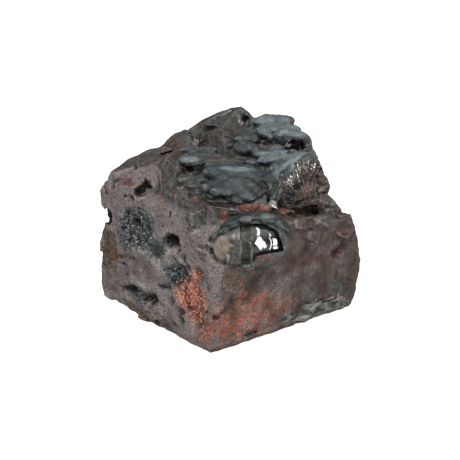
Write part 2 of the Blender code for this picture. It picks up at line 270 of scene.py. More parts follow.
# Stains and small hollows are placed by the pixel of the picture where they are seen. Each is its finish,
# its middle, its half width and half height in pixels, its roll, and how deep it goes in. The black ones
# are painted shade in pits, vugs, crevices and under the dome, and the glint and the pale streak and
# gleam on the peak are painted highlights.
STAINS = {
    "big_druse": ("druse", (137, 229), (16, 20), 20, 0),
    "big_druse_rim": ("grey", (131, 211), (11, 5), 0, 0),
    "big_druse_heart": ("black", (139, 222), (3, 9), -35, 0.8),
    "big_druse_low": ("druse", (143, 243), (8, 6), 10, 0),
    "smooth_run": ("grey", (152, 246), (8, 11), -10, 0),
    "smooth_run_low": ("grey", (158, 257), (4, 7), -20, 0),
    "black_vug": ("black", (172, 241), (8, 7), 20, 0.6),
    "black_vug_left": ("druse", (165, 244), (5, 5), 20, 0),
    "black_vug_brown": ("rust", (169, 238), (3, 3), 0, 0),
    "lower_druse": ("druse", (177, 273), (11, 9), 0, 0),
    "lower_druse_foot": ("druse", (178, 282), (5, 5), 0, 0),
    "jagged_vug": ("black", (142, 189), (7, 5), -25, 0.5),
    "jagged_vug_top": ("black", (146, 182), (2, 4), 0, 0.4),
    "jagged_vug_right": ("black", (149, 187), (3, 2), 0, 0.3),
    "long_vug": ("black", (132, 288), (8, 2.6), 4, 0.6),
    "long_vug_middle": ("druse", (142, 296), (6, 6), 20, 0),
    "long_vug_hole": ("black", (151, 299), (6, 4), 0, 0.8),
    "long_vug_chips": ("pale", (142, 285), (5, 3), 20, 0),
    "pit_row_a": ("black", (163, 286), (2, 2), 0, 0.4),
    "pit_row_b": ("black", (169, 301), (1.6, 5), 10, 0.4),
    "pit_row_c": ("black", (177, 312), (3, 3), 0, 0.5),
    "pit_row_d": ("black", (181, 320), (3.4, 2.4), 20, 0.5),
    "pit_row_e": ("black", (177, 324), (3, 1.6), 0, 0.4),
    "pit_row_f": ("black", (188, 327), (3, 1), 20, 0.2),
    "pit_g": ("black", (207, 312), (2, 2), 0, 0.4),
    "pit_h": ("black", (208, 288), (3, 1), 45, 0.3),
    "pit_i": ("black", (136, 167), (1.6, 3), 0, 0.4),
    "pit_j": ("rust", (158, 279), (3, 1.6), 0, 0.3),
    "pit_k": ("black", (128, 273), (1.2, 0.9), 0, 0.2),
    "pit_l": ("black", (134, 272), (1, 0.9), 0, 0.2),
    "pit_m": ("black", (202, 260), (1.4, 1.2), 0, 0.3),
    "pit_n": ("black", (184, 258), (2.4, 4), -10, 0.3),
    "pit_o": ("black", (178, 253), (1.6, 4), 0, 0.3),
    "pit_p": ("black", (163, 226), (1.4, 1), 0, 0.2),
    "pit_q": ("black", (122, 263), (6, 0.8), 8, 0.2),
    "pit_r": ("black", (125, 196), (2, 1.4), 0, 0.3),
    "pale_a": ("pale", (143, 251), (5, 3), 0, 0),
    "pale_b": ("pale", (167, 251), (7, 3), 20, 0),
    "pale_c": ("pale", (159, 266), (2.4, 7), -10, 0),
    "pale_d": ("pale", (182, 262), (5, 3), 20, 0),
    "pale_e": ("pale", (168, 229), (2.6, 2), 20, 0),
    "pale_f": ("pale", (195, 231), (4, 3), 0, 0),
    "pale_g": ("pale", (153, 262), (4, 4), 0, 0),
    "ochre_heart": ("ochre", (193, 300), (12, 20), -8, 0),
    "ochre_top": ("ochre", (196, 275), (5, 8), 20, 0),
    "ochre_left": ("ochre", (181, 295), (5, 10), 0, 0),
    "ochre_shoulder": ("ochre", (188, 283), (6, 8), 30, 0),
    "ochre_foot": ("ochre", (195, 316), (8, 7), 0, 0),
    "ochre_pit_a": ("blood", (193, 313), (2.4, 6), -20, 0.8),
    "ochre_pit_b": ("blood", (186, 288), (2.4, 5), 15, 0.7),
    "ochre_pit_c": ("blood", (200, 297), (1.6, 5), -15, 0.5),
    "ochre_pit_d": ("blood", (190, 304), (1.6, 5), -10, 0.4),
    "ochre_pit_e": ("blood", (197, 284), (1.2, 4), 20, 0.6),
    "ochre_pit_f": ("blood", (184, 300), (1.2, 4), 0, 0.5),
    "ochre_pit_g": ("blood", (199, 309), (1.2, 4), -20, 0.5),
    "ochre_pit_h": ("blood", (190, 320), (3, 1.4), 10, 0.4),
    "slit_right_low": ("blood", (331, 255), (5, 1.2), -30, 0.4),
    "red_scratch_a": ("blood", (122, 256), (6, 1), 6, 0.2),
    "red_scratch_b": ("blood", (133, 258), (4, 1), -8, 0.2),
    "red_scratch_c": ("blood", (106, 190), (1, 7), -20, 0.2),
    "red_scratch_d": ("blood", (170, 215), (1, 4), 10, 0.2),
    "red_scratch_e": ("blood", (150, 264), (3, 0.9), 0, 0.2),
    "red_a": ("rust", (128, 255), (7, 1.6), 0, 0),
    "red_b": ("rust", (128, 182), (7, 5), 10, 0),
    "red_c": ("rust", (115, 209), (0.8, 4), 0, 0),
    "red_d": ("rust", (175, 193), (4, 3.4), 0, 0),
    "red_e": ("rust", (178, 144), (4, 1.6), 10, 0),
    "red_f": ("rust", (160, 152), (9, 2), 4, 0),
    "red_g": ("rust", (211, 133), (3, 3), 45, 0),
    "red_h": ("rust", (103, 183), (2, 4), -20, 0),
    "left_edge": ("umber", (108, 250), (9, 24), 0, 0),
    "left_edge_band": ("rust", (114, 254), (4, 9), 10, 0),
    "low_edge": ("umber", (150, 316), (30, 9), 30, 0),
    "gold_a": ("gold", (162, 202), (1.1, 2), 0, 0),
    "gold_b": ("gold", (196, 198), (1.1, 0.8), 0, 0),
    "gold_c": ("gold", (188, 199), (0.8, 0.8), 0, 0),
    "ridge_red": ("blood", (172, 152), (4, 1.4), -20, 0.2),
    "gold_d": ("gold", (159, 196), (0.8, 0.8), 0, 0),
    "green_facet": ("slate", (195, 219), (11, 9), -10, 0),
    "green_slab": ("slate", (212, 216), (6, 9), 0, 0),
    "crest_facet": ("slate", (172, 186), (9, 17), -10, 0),
    "strip_left": ("rust", (224, 215), (6, 6), 20, 0),
    "strip": ("brick", (250, 208), (14, 5), -6, 0),
    "strip_right": ("brick", (265, 208), (6, 4), 0, 0),
    "lens": ("rust", (206, 249), (10, 2.4), 32, 0),
    "under_dome": ("umber", (236, 283), (15, 13), -20, 0),
    "streaks_low": ("streaks", (238, 322), (34, 18), -12, 0),
    "streaks_middle": ("streaks", (258, 302), (30, 8), 6, 0),
    "streaks_right": ("streaks", (285, 310), (26, 5), -12, 0),
    "streaks_corner": ("streaks", (205, 335), (16, 10), 0, 0),
    "spot_a": ("brick", (223, 288), (2, 1.4), 0, 0),
    "spot_b": ("brick", (242, 281), (2, 1.2), 0, 0.2),
    "spot_c": ("brick", (264, 292), (4, 1.6), 0, 0),
    "spot_d": ("blood", (235, 298), (4, 1.6), 0, 0.9),
    "spot_e": ("blood", (247, 297), (5, 1.6), 0, 0.9),
    "spot_f": ("blood", (228, 303), (4, 1.4), 0, 0.9),
    "spot_g": ("blood", (243, 312), (6, 1.8), 0, 0.9),
    "spot_h": ("blood", (216, 318), (4, 2.6), 0, 0.6),
    "spot_i": ("brick", (228, 326), (4, 1.4), -12, 0),
    "streak_a": ("brick", (240, 297), (9, 1.3), 2, 0.2),
    "streak_b": ("brick", (232, 304), (8, 1.5), -8, 0.2),
    "streak_c": ("brick", (224, 310), (9, 1.2), -6, 0.1),
    "streak_d": ("brick", (219, 314), (7, 1.4), -8, 0.2),
    "streak_e": ("brick", (247, 310), (7, 1.8), -6, 0.2),
    "streak_f": ("rust", (285, 309), (11, 1.2), -4, 0.1),
    "streak_g": ("brick", (277, 315.5), (8, 0.9), 4, 0.1),
    "streak_h": ("rust", (226, 331), (9, 1.3), -12, 0.1),
    "streak_i": ("brick", (208, 330), (6, 1.8), -6, 0.1),
    "streak_j": ("rust", (260, 303), (9, 1.3), 4, 0.1),
    "streak_k": ("brick", (205, 337), (7, 1.3), 12, 0.1),
    "under_rim": ("ochre", (262, 257), (9, 2.4), -14, 0),
    "rust_patch": ("rust", (316, 256), (10, 4), 22, 0.3),
    "rust_slit": ("blood", (338, 250), (9, 2.4), -24, 0.5),
    "red_dots": ("scarlet", (300, 266), (4, 1.6), 0, 0.3),
    "red_dot": ("scarlet", (306, 261), (1.4, 1.6), 0, 0),
    "black_dot": ("black", (306.5, 264), (1.6, 1.4), 0, 0.8),
    "brown_dot": ("rust", (285, 273), (4, 2.4), 0, 0.3),
    "brown_dot_b": ("rust", (336, 273), (2, 1.2), 0, 0.3),
    "brown_dot_c": ("rust", (331, 262), (3, 1), 0, 0.2),
    "dark_right": ("slate", (340, 287), (11, 9), 0, 0),
    "dark_right_b": ("slate", (314, 292), (7, 5), 0, 0),
    "foot_slate": ("shale", (324, 305), (25, 7), -10, 0.3),
    "foot_slate_low": ("shale", (300, 317), (24, 5), -8, 0.2),
    "foot_nick": ("black", (298, 323.5), (8, 1.5), 6, 1.2),
    "foot_nick_b": ("black", (250, 335), (6, 1.5), -18, 0.8),
    "foot_nick_c": ("black", (335, 318.5), (5, 1.4), -20, 0.8),
    "foot_dark": ("slate", (266, 323), (6, 3), -10, 0.3),
    "ledge_green": ("slate", (300, 221), (5, 2.4), 0, 0),
    "ledge_rust": ("rust", (286, 211), (11, 3), 12, 0),
    "ledge_brown": ("umber", (308, 213), (18, 4), -6, 0.5),
    "ledge_streak": ("rust", (325, 236), (1.2, 5), 8, 0),
    "ledge_streak_b": ("rust", (306, 235), (1, 4), 8, 0),
    "ledge_spots": ("blood", (345, 234), (4, 1), -10, 0.4),
    "ledge_face": ("slate", (328, 212), (6, 18), 12, 0),
    "ledge_dark_a": ("black", (312, 213.5), (9, 1.6), -10, 1),
    "ledge_dark_b": ("black", (337, 216.5), (6, 1.4), 24, 0.8),
    "ledge_dark_c": ("black", (311, 229), (3, 1.6), 20, 0.6),
    "ledge_dark_d": ("umber", (296, 216), (8, 2), 10, 0.6),
    "ridge_slate": ("slate", (150, 152), (16, 6), 0, 0),
    "slate_block": ("slate", (192, 138), (15, 13), 0, 0),
    "peak_slate": ("slate", (226, 119), (24, 13), 0, 0),
    "valley": ("slate", (235, 155), (40, 14), 0, 0),
    "peak_edge": ("pale", (239, 119.5), (0.9, 5), -14, 0),
    # A painted highlight.
    "peak_streak": ("pale", (226, 113), (7, 0.8), -30, 0),
    "white_grain": ("pale", (196, 142), (2.6, 3), 0, 0),
    "peak_hollow": ("black", (245.5, 119), (2.6, 6), -12, 0.8),
    # A painted highlight.
    "peak_gleam": ("pale", (243, 123), (0.9, 2.4), 24, 0),
    "block_slate": ("slate", (205, 140), (3, 5), -40, 0.3),
    # A painted highlight.
    "sliver": ("glint", (273, 204), (3.4, 4.6), -36, 0),
    "dome_seat": ("wash", (219, 257), (10, 5), 38, 1.6),
    "dome_shade": ("black", (209, 250), (2, 6), -30, 0),
    "dome_foot_shade": ("black", (228, 265), (12, 1.6), 18, 0),
    "left_notch": ("umber", (106, 216), (7, 7), 0, 2.4),
    "low_notch": ("black", (156, 323), (4, 3), 20, 1.2),
    "low_notch_left": ("black", (116, 303), (4, 2), 40, 0.8),
    "wash_low": ("wash", (238, 320), (44, 24), -12, 0),
    "wash_high": ("wash", (262, 300), (34, 10), 0, 0),
    "dome_low_shade": ("black", (256, 270), (14, 1.8), -12, 0),
    "dome_right_shade": ("umber", (290, 250), (8, 4), -50, 0),
}
STAIN_WANDER = 0.45
# A stain keeps to the skin near its middle: this many times its half size, and a little more.
STAIN_REACH = 2.4
STAIN_SLACK_MM = 2

# The heading and tilt that the mauve faces look to, and the edge where they begin.
MAUVE_FACING = (186, 12)
MAUVE_EDGE = (0.35, 0.3)
# The ore's top begins at this height, where it faces up at least so much.
TOP_HEIGHT = (42, 5)
TOP_SLANT = (-0.2, 0.6)
# The left shoulder is mauve nearly up to its ridge, and has this much less of the top.
SHOULDER_SHARE = 0.9
SHOULDER_PX = (((131, 177), (27, 10), -10), ((152, 176), (10, 12), 0), ((112, 184), (8, 12), 0))

# The faces away from the camera are chipped: over how much turning away it grows, how deep it goes,
# and how far apart and strong the chips are.
AWAY_FADE = 0.3
CHIPPED_MM = 1.5
CHIPS = ((9, 1), (3.6, 0.5))
# The finish of each patch on the faces away from the camera, how far apart such patches are, and
# where their noise starts and their edge: where it begins and over how much it fades.
UNSEEN_PATCHES = (
    ("umber", 10, (2, 1, 4), (0.02, 0.2)),
    ("slate", 7, (5, 1, 4), (0.02, 0.2)),
    ("rust", 3.4, (8, 8, 1), (0.36, 0.1)),
)
# The mauve patches there: how far apart, where their noise starts, their edge and their strength.
MAUVE_PATCHES = (13, (6, 2, 9))
MAUVE_PATCH_EDGE = (-0.05, 0.15)
UNSEEN_MAUVE = 0.9
# The vugs on those faces that are lined with crystals.
UNSEEN_VUGS = ("right_face_scoop", "right_face_pit", "back_scoop", "back_cleft", "back_pit")
UNSEEN_VUG_WAVES = ((2.4, 0.5, (7, 7, 3)),)
UNSEEN_VUG_RIM = (0.95, 0.3)

# The crust

# Each lobe of the crust is its middle, its half sizes along, across and up, its heading and lean.
LOBES = (
    ((27, 22, 48.5), (10.5, 6.5, 5.5), -40, 4),
    ((21.5, 15.5, 46.3), (10.5, 6.5, 5.5), -36, 4),
    ((19.3, 13.6, 47.4), (3.5, 3, 3), -36, 0),
    ((25, 11.8, 46.3), (4, 3, 3), -36, 0),
    ((15, 32, 47.6), (5, 4, 3.2), -30, 0),
    ((19.5, 29.5, 48.2), (4.6, 4, 3.2), -36, 0),
    ((13.5, 28.5, 45), (3.5, 3, 3), -30, 0),
    ((15.8, 25.2, 44), (3, 2.5, 2.5), -30, 0),
    ((21, 40.5, 49.5), (5.8, 4.5, 4), -36, 0),
    ((27, 52, 48.5), (3.6, 3.5, 3), -36, 0),
    ((30.6, 44.5, 49), (4.6, 4, 3.8), -36, 0),
    ((27, 45.5, 48.6), (4, 3.5, 3), -36, 0),
    ((28.5, 39.5, 48.2), (5.5, 3.5, 3), -36, 0),
    ((41, 37, 49.5), (5.2, 4.5, 4.6), -36, 0),
    ((44, 42, 50), (4.5, 4.5, 4), -36, 0),
    ((47.5, 47, 50), (5.5, 5.5, 4.6), -36, 0),
    ((53.5, 49, 51), (5, 5, 5), -36, 0),
    ((56, 44, 53.6), (5.2, 4.6, 4.8), -36, 0),
    ((60, 40, 54), (4.6, 4.6, 4.6), -36, 0),
    ((52, 40, 51.4), (6, 5.5, 5), -36, 0),
    ((56.5, 36.5, 52), (6, 5.5, 5.2), -36, 0),
    ((56.5, 29, 52.2), (6.6, 5.5, 5.6), -36, 0),
    ((57.5, 24.5, 48.5), (5, 4, 4), -36, 0),
    ((43, 30.5, 50), (4, 4, 3.6), -36, 0),
    ((43, 24, 50), (5.5, 4.5, 4.2), -30, 0),
    ((49.6, 28.5, 50.5), (4.5, 4, 4), -36, 0),
    ((47, 20, 50), (6, 4.5, 5), -25, 0),
    ((41, 17.5, 48.2), (5, 4.5, 5.5), -25, 0),
    ((35.5, 15, 46.5), (4.2, 4.5, 6), -20, 0),
    ((54, 35, 47.5), (8.5, 10, 6), 0, 0),
    ((45, 22, 46.5), (8, 7, 5.5), 0, 0),
)
# The crust broke off with the block at the right end and at the back.
CRUST_ENDS = {
    "right": ((63.3, 30, 50), 2, 10),
    "back": ((50, 63.6, 50), 88, 8),
}

# The crust's pillows are placed by the pixel where their middle is seen. Each is its middle, its
# half width and half height in pixels, and its roll in the picture.
PILLOWS = (
    ((237, 174), (29, 8.5), 5),
    ((224, 172), (15, 7), -6),
    ((253, 180.5), (14, 6.5), 24),
    ((233, 189), (25, 9.5), 8),
    ((222, 178.5), (8, 3.4), -6),
    ((236, 181.5), (9, 3.8), 2),
    ((249, 184), (6.5, 4), 24),
    ((226.7, 191.5), (8, 4.6), 0),
    ((214, 196), (6, 3.4), 10),
    ((231, 198), (6, 3), 4),
    ((246.7, 196), (8.5, 4.6), 8),
    ((217.8, 191), (7, 5), 10),
    ((255, 192), (6.5, 7), 30),
    ((238, 199), (9, 4.5), 6),
    ((186.7, 178.9), (9.5, 3.8), -4),
    ((206.7, 178.9), (10.5, 4.8), -4),
    ((197, 185.6), (9.5, 3.8), -6),
    ((207, 187), (6, 4), 10),
    ((196.7, 192.6), (7, 3.6), -8),
    ((209, 195), (6, 3.2), 0),
    ((202.5, 198), (5, 2.6), 0),
    ((190.5, 161.5), (12.5, 5), 6),
    ((199, 166), (5, 3.6), 50),
    ((186.7, 149.4), (7.8, 3.4), -4),
    ((208.3, 149.4), (9, 3.4), 0),
    ((202, 154.4), (12, 3.4), -4),
    ((214, 156.5), (7, 2.6), 0),
    ((207, 160.6), (10.5, 2.4), 4),
    ((215, 164.2), (9.5, 2.2), 8),
    ((221, 160.4), (8.5, 2), 4),
    ((226, 155.8), (9, 2.2), 2),
    ((232, 163), (10, 2), 2),
    ((243, 160.4), (12, 2.6), 0),
    ((254, 163), (8.5, 3), 8),
    ((246.7, 148.4), (10.8, 6.6), -4),
    ((256, 152), (5, 5), 20),
    ((228, 149.4), (8, 3.6), 0),
    ((232, 143.8), (6, 3.6), -20),
    ((242.2, 139), (8.5, 4.6), 0),
    ((255.6, 138.5), (6, 5.6), 0),
    ((240.5, 133.6), (8, 2.4), -6),
    ((251.5, 129.5), (6.5, 3.2), -8),
    ((242, 129.2), (7, 2.4), -10),
    ((256.5, 122.8), (6.5, 4), -8),
    ((267, 121.8), (12, 4.6), -8),
    ((285.5, 120), (9.5, 5.2), 6),
    ((264, 132.6), (7.5, 5.4), 10),
    ((281, 128.9), (19, 5.6), 2),
    ((272, 137), (6, 5), 40),
    ((290.5, 137), (15.5, 8), 4),
    ((296.7, 135.5), (10, 5), 8),
    ((283, 134), (6.5, 3.8), -14),
    ((299, 150), (9, 2.4), -12),
    ((263.3, 154.4), (9.5, 4), -4),
    ((272.2, 159.4), (14, 5), -6),
    ((277.8, 152), (10.5, 3), -6),
    ((264, 161.5), (7, 3), -10),
    ((294.4, 156.6), (12, 3.6), -14),
    ((286.7, 163.4), (14.5, 3.6), -26),
    ((277.8, 170.6), (11.5, 4), -32),
    ((272, 178.5), (8.5, 4.6), -44),
    ((267, 186), (6, 5), -50),
    ((301, 161.5), (14, 3), -28),
    ((286, 172.5), (11, 3), -42),
    ((277, 184), (8, 3.2), -58),
    ((272, 195), (6.5, 3.6), -66),
)
PILLOW_RISE = 0.76
PILLOW_SINK_MM = 1.2
PILLOW_SPREAD = 1.16
# A pillow is at least this deep for its width.
PILLOW_DEPTH = 0.5
# Pillows less high than this sit on the others, and are sunk less.
BIG_PILLOW_PX = 5.5
SMALL_SINK_MM = 0.75

# Seeds come in layers, each how far apart they are, how high they stand and their middle level.
CRUST_SEEDS = ((4.4, 0.7, 0.4), (2, 0.3, 0.45))
CRUST_WAVES = ((6, 0.4, (2, 2, 2)), (0.6, 0.05, (1, 5, 2)))

# The crust's ledges: how far one is above the next, their unevenness, how deep they are cut and
# their middle level.
LEDGE_MM = 1.1
LEDGE_WAVES = ((7, 1.6, (3, 1, 2)),)
LEDGE_DEPTH_MM = 0.22
LEDGE_LEVEL = 0.4
# The pillows have this share of the valleys' ledges.
PILLOW_LEDGES = 0.25
# A valley begins this far out of every pillow, with 1 a pillow's skin.
VALLEY_EDGE = (1.03, 0.22)
FAR_OFF = 9.0

# The black stains and the dark ones under the pillows and in the crevice are painted shade, and the
# glints are painted highlights.
CRUST_STAINS = {
    "mushroom_shade": ("black", (188, 170), (6.5, 3.2), 0, 1.8),
    "arch": ("black", (297, 145.2), (10, 4.4), -6, 2.6),
    "arch_glint": ("glint", (288.6, 144.8), (3.2, 2.4), -20, 0),
    "crevice": ("dark", (267.5, 143), (5, 2), -10, 0.5),
    "ridge_end": ("dark", (291.5, 121), (2.4, 6), 0, 0),
    "under_big_pillow": ("dark", (264, 186), (3, 6), -30, 0.6),
    "under_left": ("dark", (196, 202), (14, 3), 10, 0.5),
    "under_front": ("dark", (232, 206), (24, 3), 4, 0.6),
    "sliver": ("glint", (273, 204), (3.4, 4.6), -36, 0),
    "rusty_tip": ("rust", (263, 206), (5, 4), 0, 0),
    "left_slope": ("dark", (182, 186), (5, 12), 20, 0),
    "back_left": ("dark", (214, 146), (18, 3), 0, 0),
    "middle": ("dark", (224, 158), (16, 7), 0, 0),
    "fan_side": ("rust", (317, 152), (3, 6), -30, 0),
}
# The crust's skin is paler with painted sheen in these ovals of the picture.
SHEEN_PX = (
    ((278, 127), (30, 14), 10),
    ((296, 137), (14, 9), 10),
    ((270, 156), (22, 7), -6),
    ((290, 162), (20, 7), -28),
    ((238, 168.5), (17, 2.6), 3),
    ((190, 159), (10, 3), 0),
)

# Small bright flakes of painted glint, each with its corners in the picture: how far they stand out of
# the crust, how thick they are, and how much more than towards the eye their faces look up.
FLAKE_UPWARDS = 1.4
FLAKE_LIFT_MM = 0.25
FLAKE_THICK_MM = 1.6
GLINT_FLAKES_PX = (
    ((268.6, 200.4), (270.6, 202.6), (278, 208.6), (272.4, 206.8), (269.6, 204.4)),
    ((287, 146.4), (288.6, 143.6), (291.6, 142.8), (291, 145), (288.4, 146.8)),
)

# The fan

FAN_LOBE = ((48.7, 16.8, 43.7), (11, 11, 11), -8, 0)
FAN_BREAK = ((48.5, 11.7, 45), 264, 16)
FAN_SIDES_PX = (((314, 150), (329, 184)), ((322, 204), (279, 210)))
FAN_ROOT_PX = (306, 204)
# Where the fan's face is glossy, with painted reflections.
FAN_GLOSS_AND_SHEEN_PX = (((291, 175), (13, 5.5), -38), ((304, 166), (6, 3), -20), ((313, 166), (3, 2), 30))

# Each layer of fibres is how many lie round a radian, how fast they change outwards, where their
# noise starts and how high they stand.
LEAVES = ((13, 0.2, 3, 1), (2.6 * 13, 0.3, 7, 0.6), (3, 1.3, 5, 0.5))
LEAF_HEIGHT_MM = 0.75
FAN_BEND = ((5, 0.12, (4, 4, 4)),)
FAN_WAVES = ((4.5, 1.2, (1, 1, 6)),)
FAN_SKIN_SEEDS = ((4.4, 1.1, 0.4),)
FAN_SKIN_WAVES = ((1.8, 0.5, (3, 1, 2)),)
# How far the blades lean out of the face.
BLADE_LEAN = 0.12
# Skin that looks this much the way of the break is its face.
FAN_FACE_EDGE = (0.8, 0.15)

# The dark stains are painted shade in the fan's pockets and crevices and between its leaves; the rib is
# its own colour.
FAN_STAINS = {
    "right_pocket": ("dark", (321, 191.5), (4.5, 3.4), 20, 1.3),
    "root_crevice": ("dark", (299, 202.5), (5, 2.4), -20, 1.2),
    "left_leaves": ("dark", (289, 198), (4, 6), 30, 0.6),
    "upper_leaves": ("dark", (298, 186), (3, 5), 50, 0.5),
    "right_leaves": ("dark", (318, 180), (2, 6), -20, 0.5),
    "rib": ("rib", (307.5, 189), (5, 8), 24, 0),
    "rib_foot": ("rib", (312, 202), (5, 3), 0, 0),
}

# The dome

DOME = ((18.6, 2.9, 36.6), (13.4, 6.8, 8), -16, 2)
# The split left half is a flat facet that ends in an upright edge, with a recess beside it.
DOME_FACET = ((12.95, -2.2, 36.6), 222, 6)
FACET_EDGE_PX = ((240, 226), (241.5, 268))
RECESS_EDGE_PX = ((252.5, 264), (255, 226))
# The outer skin's rims are arches through these pixels, and the lip is below its line.
INNER_RIM_PX = (
    (204, 246), (212, 237), (224, 230), (238, 226), (249, 223.5), (264, 224), (278, 231), (285, 254),
)
OUTER_RIM_PX = ((236, 222.5), (249, 219), (264, 218), (279, 223), (289, 233))
LIP_PX = ((250, 258), (281, 251))
LIP_END_PX = ((256, 268), (254, 250))
INNER_FOOT_PX = ((299, 256), (200, 246))

# The botryoid's layers are the whole form grown or shrunk along, across and up.
WHOLE = (1, 1, 1)
CORE_SCALE = (0.97, 0.97, 0.97)
RECESS_SCALE = (0.9, 0.84, 0.9)
INNER_SCALE = (1.06, 1.2, 1.13)
OUTER_SCALE = (1.1, 1.45, 1.32)

# Lumps along the botryoid's crest and down its left side, and at the foot of its recess. Each is
# placed like a pillow.
CREST_PX = (
    ((245, 219.5), (6.5, 3.4), -6),
    ((255, 219), (5, 3), 0),
    ((266, 218.5), (8.5, 4.2), 4),
    ((278, 223.5), (7, 4), 26),
    ((234, 224.5), (6, 3), -20),
    ((224, 230), (6, 3), -32),
)
LEFT_RIM_PX = (
    ((219, 232), (6, 2.6), -36),
    ((213, 237.5), (5, 2.8), -48),
)
DOME_LUMPS = (
    ((246, 265), (5, 3), -8),
    ((254, 262.6), (4.4, 2.8), -18),
    ((240, 267.5), (4, 2), 8),
)
# How far the lumps of each row are sunk, and the fine unevenness of the botryoid's parts.
CREST_SINK_MM = 0.5
RIM_SINK_MM = 0.3
LUMP_SINK_MM = 0.2
FACET_WAVES = ((1.6, 0.1, (2, 2, 2)), (0.7, 0.05, (1, 5, 2)))
SHELL_WAVES = ((5, 0.3, (2, 2, 2)), (1.5, 0.14, (1, 5, 2)))
SHELL_SEEDS = ((2.2, 0.4, 0.4),)

# The recess's dark is painted shade and the tan strip is a painted reflection; the tan facet and spot and
# the dark low lumps are their own colours.
DOME_STAINS = {
    "recess": ("dark", (247.5, 247), (6, 26), -3, 0),
    "low_lumps": ("dark", (248, 265), (12, 4), -12, 0),
    "tan_facet": ("tan", (219, 247.5), (11, 14), 8, 0),
    "tan_spot": ("tan", (234, 236), (1.6, 3.4), 8, 0),
    "tan_strip": ("tan", (252, 254), (1.6, 8), 6, 0),
}
SHELL_STAINS = {
    "rust_lip": ("rust", (265, 257), (12, 3), -12, 0),
    "dark_a": ("dark", (246, 219), (4, 2), 0, 0),
    "dark_b": ("dark", (258, 217), (4, 2.4), 0, 0),
    "dark_c": ("dark", (270, 214), (3, 2), 0, 0),
    "right_fade": ("dark", (290, 241), (7, 9), 40, 0),
    "lip": ("dark", (268, 260), (20, 6), -12, 0),
    "brown_b": ("dark", (212, 246), (3, 6), 20, 0),
}

# The skins are paler with painted sheen in these ovals of the picture, by this share.
RIM_SHEEN = 0.8
RIM_SHEEN_PX = (
    ((240, 227), (8, 1.4), -26),
    ((254, 223.4), (9, 1.4), 0),
    ((268, 226.4), (8, 1.4), 26),
    ((218, 232), (7, 1.2), -38),
    ((250, 218.5), (12, 2.4), -4),
    ((266, 216), (9, 2.4), 2),
    ((284, 236), (6, 8), 30),
)

# The finishes

# Each finish of the broken ore: its dark and light colours, how far apart they alternate in millimetres,
# and its roughness. Black is painted shade in pits, vugs and crevices, and glint is a painted highlight.
ORE_LOOKS = {
    "brown": ((0.04, 0.0268, 0.022), (0.076, 0.0535, 0.0445), 1.8, 0.7),
    "mauve": ((0.1, 0.085, 0.082), (0.175, 0.151, 0.146), 0.8, 0.68),
    "top": ((0.024, 0.02, 0.017), (0.08, 0.067, 0.058), 1.5, 0.6),
    "slate": ((0.022, 0.0235, 0.0215), (0.07, 0.07, 0.064), 1.8, 0.42),
    "umber": ((0.03, 0.023, 0.017), (0.12, 0.09, 0.067), 1.0, 0.65),
    "grey": ((0.045, 0.051, 0.054), (0.1, 0.109, 0.113), 1.4, 0.36),
    "druse": ((0.006, 0.007, 0.008), (0.07, 0.075, 0.078), 0.7, 0.3),
    "wash": ((0.09, 0.05, 0.038), (0.2, 0.118, 0.093), 1.6, 0.8),
    "streaks": ((0.11, 0.032, 0.02), (0.36, 0.11, 0.068), 0.7, 0.85),
    "ochre": ((0.13, 0.045, 0.032), (0.52, 0.23, 0.16), 0.7, 0.9),
    "brick": ((0.06, 0.022, 0.016), (0.3, 0.12, 0.085), 0.8, 0.85),
    "rust": ((0.035, 0.012, 0.008), (0.16, 0.05, 0.03), 0.8, 0.8),
    "blood": ((0.03, 0.008, 0.006), (0.13, 0.03, 0.02), 0.6, 0.7),
    "scarlet": ((0.18, 0.03, 0.02), (0.4, 0.08, 0.05), 0.5, 0.8),
    "pale": ((0.1, 0.09, 0.083), (0.28, 0.26, 0.245), 0.5, 0.5),
    "gold": ((0.16, 0.045, 0.016), (0.42, 0.18, 0.06), 0.4, 0.4),
    "shale": ((0.012, 0.0125, 0.012), (0.24, 0.24, 0.225), 0.7, 0.4),
    "black": ((0.004, 0.004, 0.005), (0.025, 0.024, 0.025), 0.8, 0.4),
    "glint": ((0.6, 0.61, 0.62), (0.85, 0.86, 0.87), 0.5, 0.25),
}
# The streaks on the brown face run along it: their heading, and how much longer they are than wide.
STREAK_HEADING = -12
STREAK_LENGTH = 9
# Where a finish starts and is full on its edge, if it isn't the plain crisp one.
EDGES = {
    "streaks": (0.98, 1.14),
    "wash": (0.1, 1.1),
    "rust": (0.7, 1.15),
    "slate": (0.3, 0.8),
    "umber": (0.2, 0.9),
}
PLAIN_EDGE = (0.42, 0.58)
# Where a finish's dark ends and its light is full on their noise, if it isn't the plain fade.
FADES = {"shale": (0.4, 0.62)}
PLAIN_FADE = (0.36, 0.64)

# The crust's dark and light colours: where it faces down, as painted shade, where it faces up, as painted
# light, under its painted sheen, in its valleys, and in its stains, where black is painted shade.
CRUST_COLOURS = {
    "under": ((0.006, 0.0075, 0.008), (0.014, 0.0175, 0.018)),
    "over": ((0.0078, 0.0127, 0.0142), (0.0205, 0.0315, 0.0335)),
    "painted_sheen": ((0.051, 0.069, 0.073), (0.104, 0.135, 0.14)),
    "valley": ((0.04, 0.04, 0.037), (0.13, 0.126, 0.115)),
    "dark": ((0.022, 0.018, 0.015), (0.062, 0.048, 0.041)),
    "rust": ((0.06, 0.03, 0.02), (0.14, 0.065, 0.045)),
    "black": ((0.003, 0.003, 0.003), (0.01, 0.01, 0.009)),
}
# The dark and light colours of the split facet and of its stains: dark is painted shade in the recess and
# the low lumps' own colour, and tan also paints a reflection strip.
FACET_COLOURS = {
    "plain": ((0.025, 0.026, 0.021), (0.075, 0.075, 0.063)),
    "tan": ((0.11, 0.087, 0.07), (0.18, 0.144, 0.118)),
    "dark": ((0.005, 0.0055, 0.005), (0.028, 0.026, 0.022)),
}
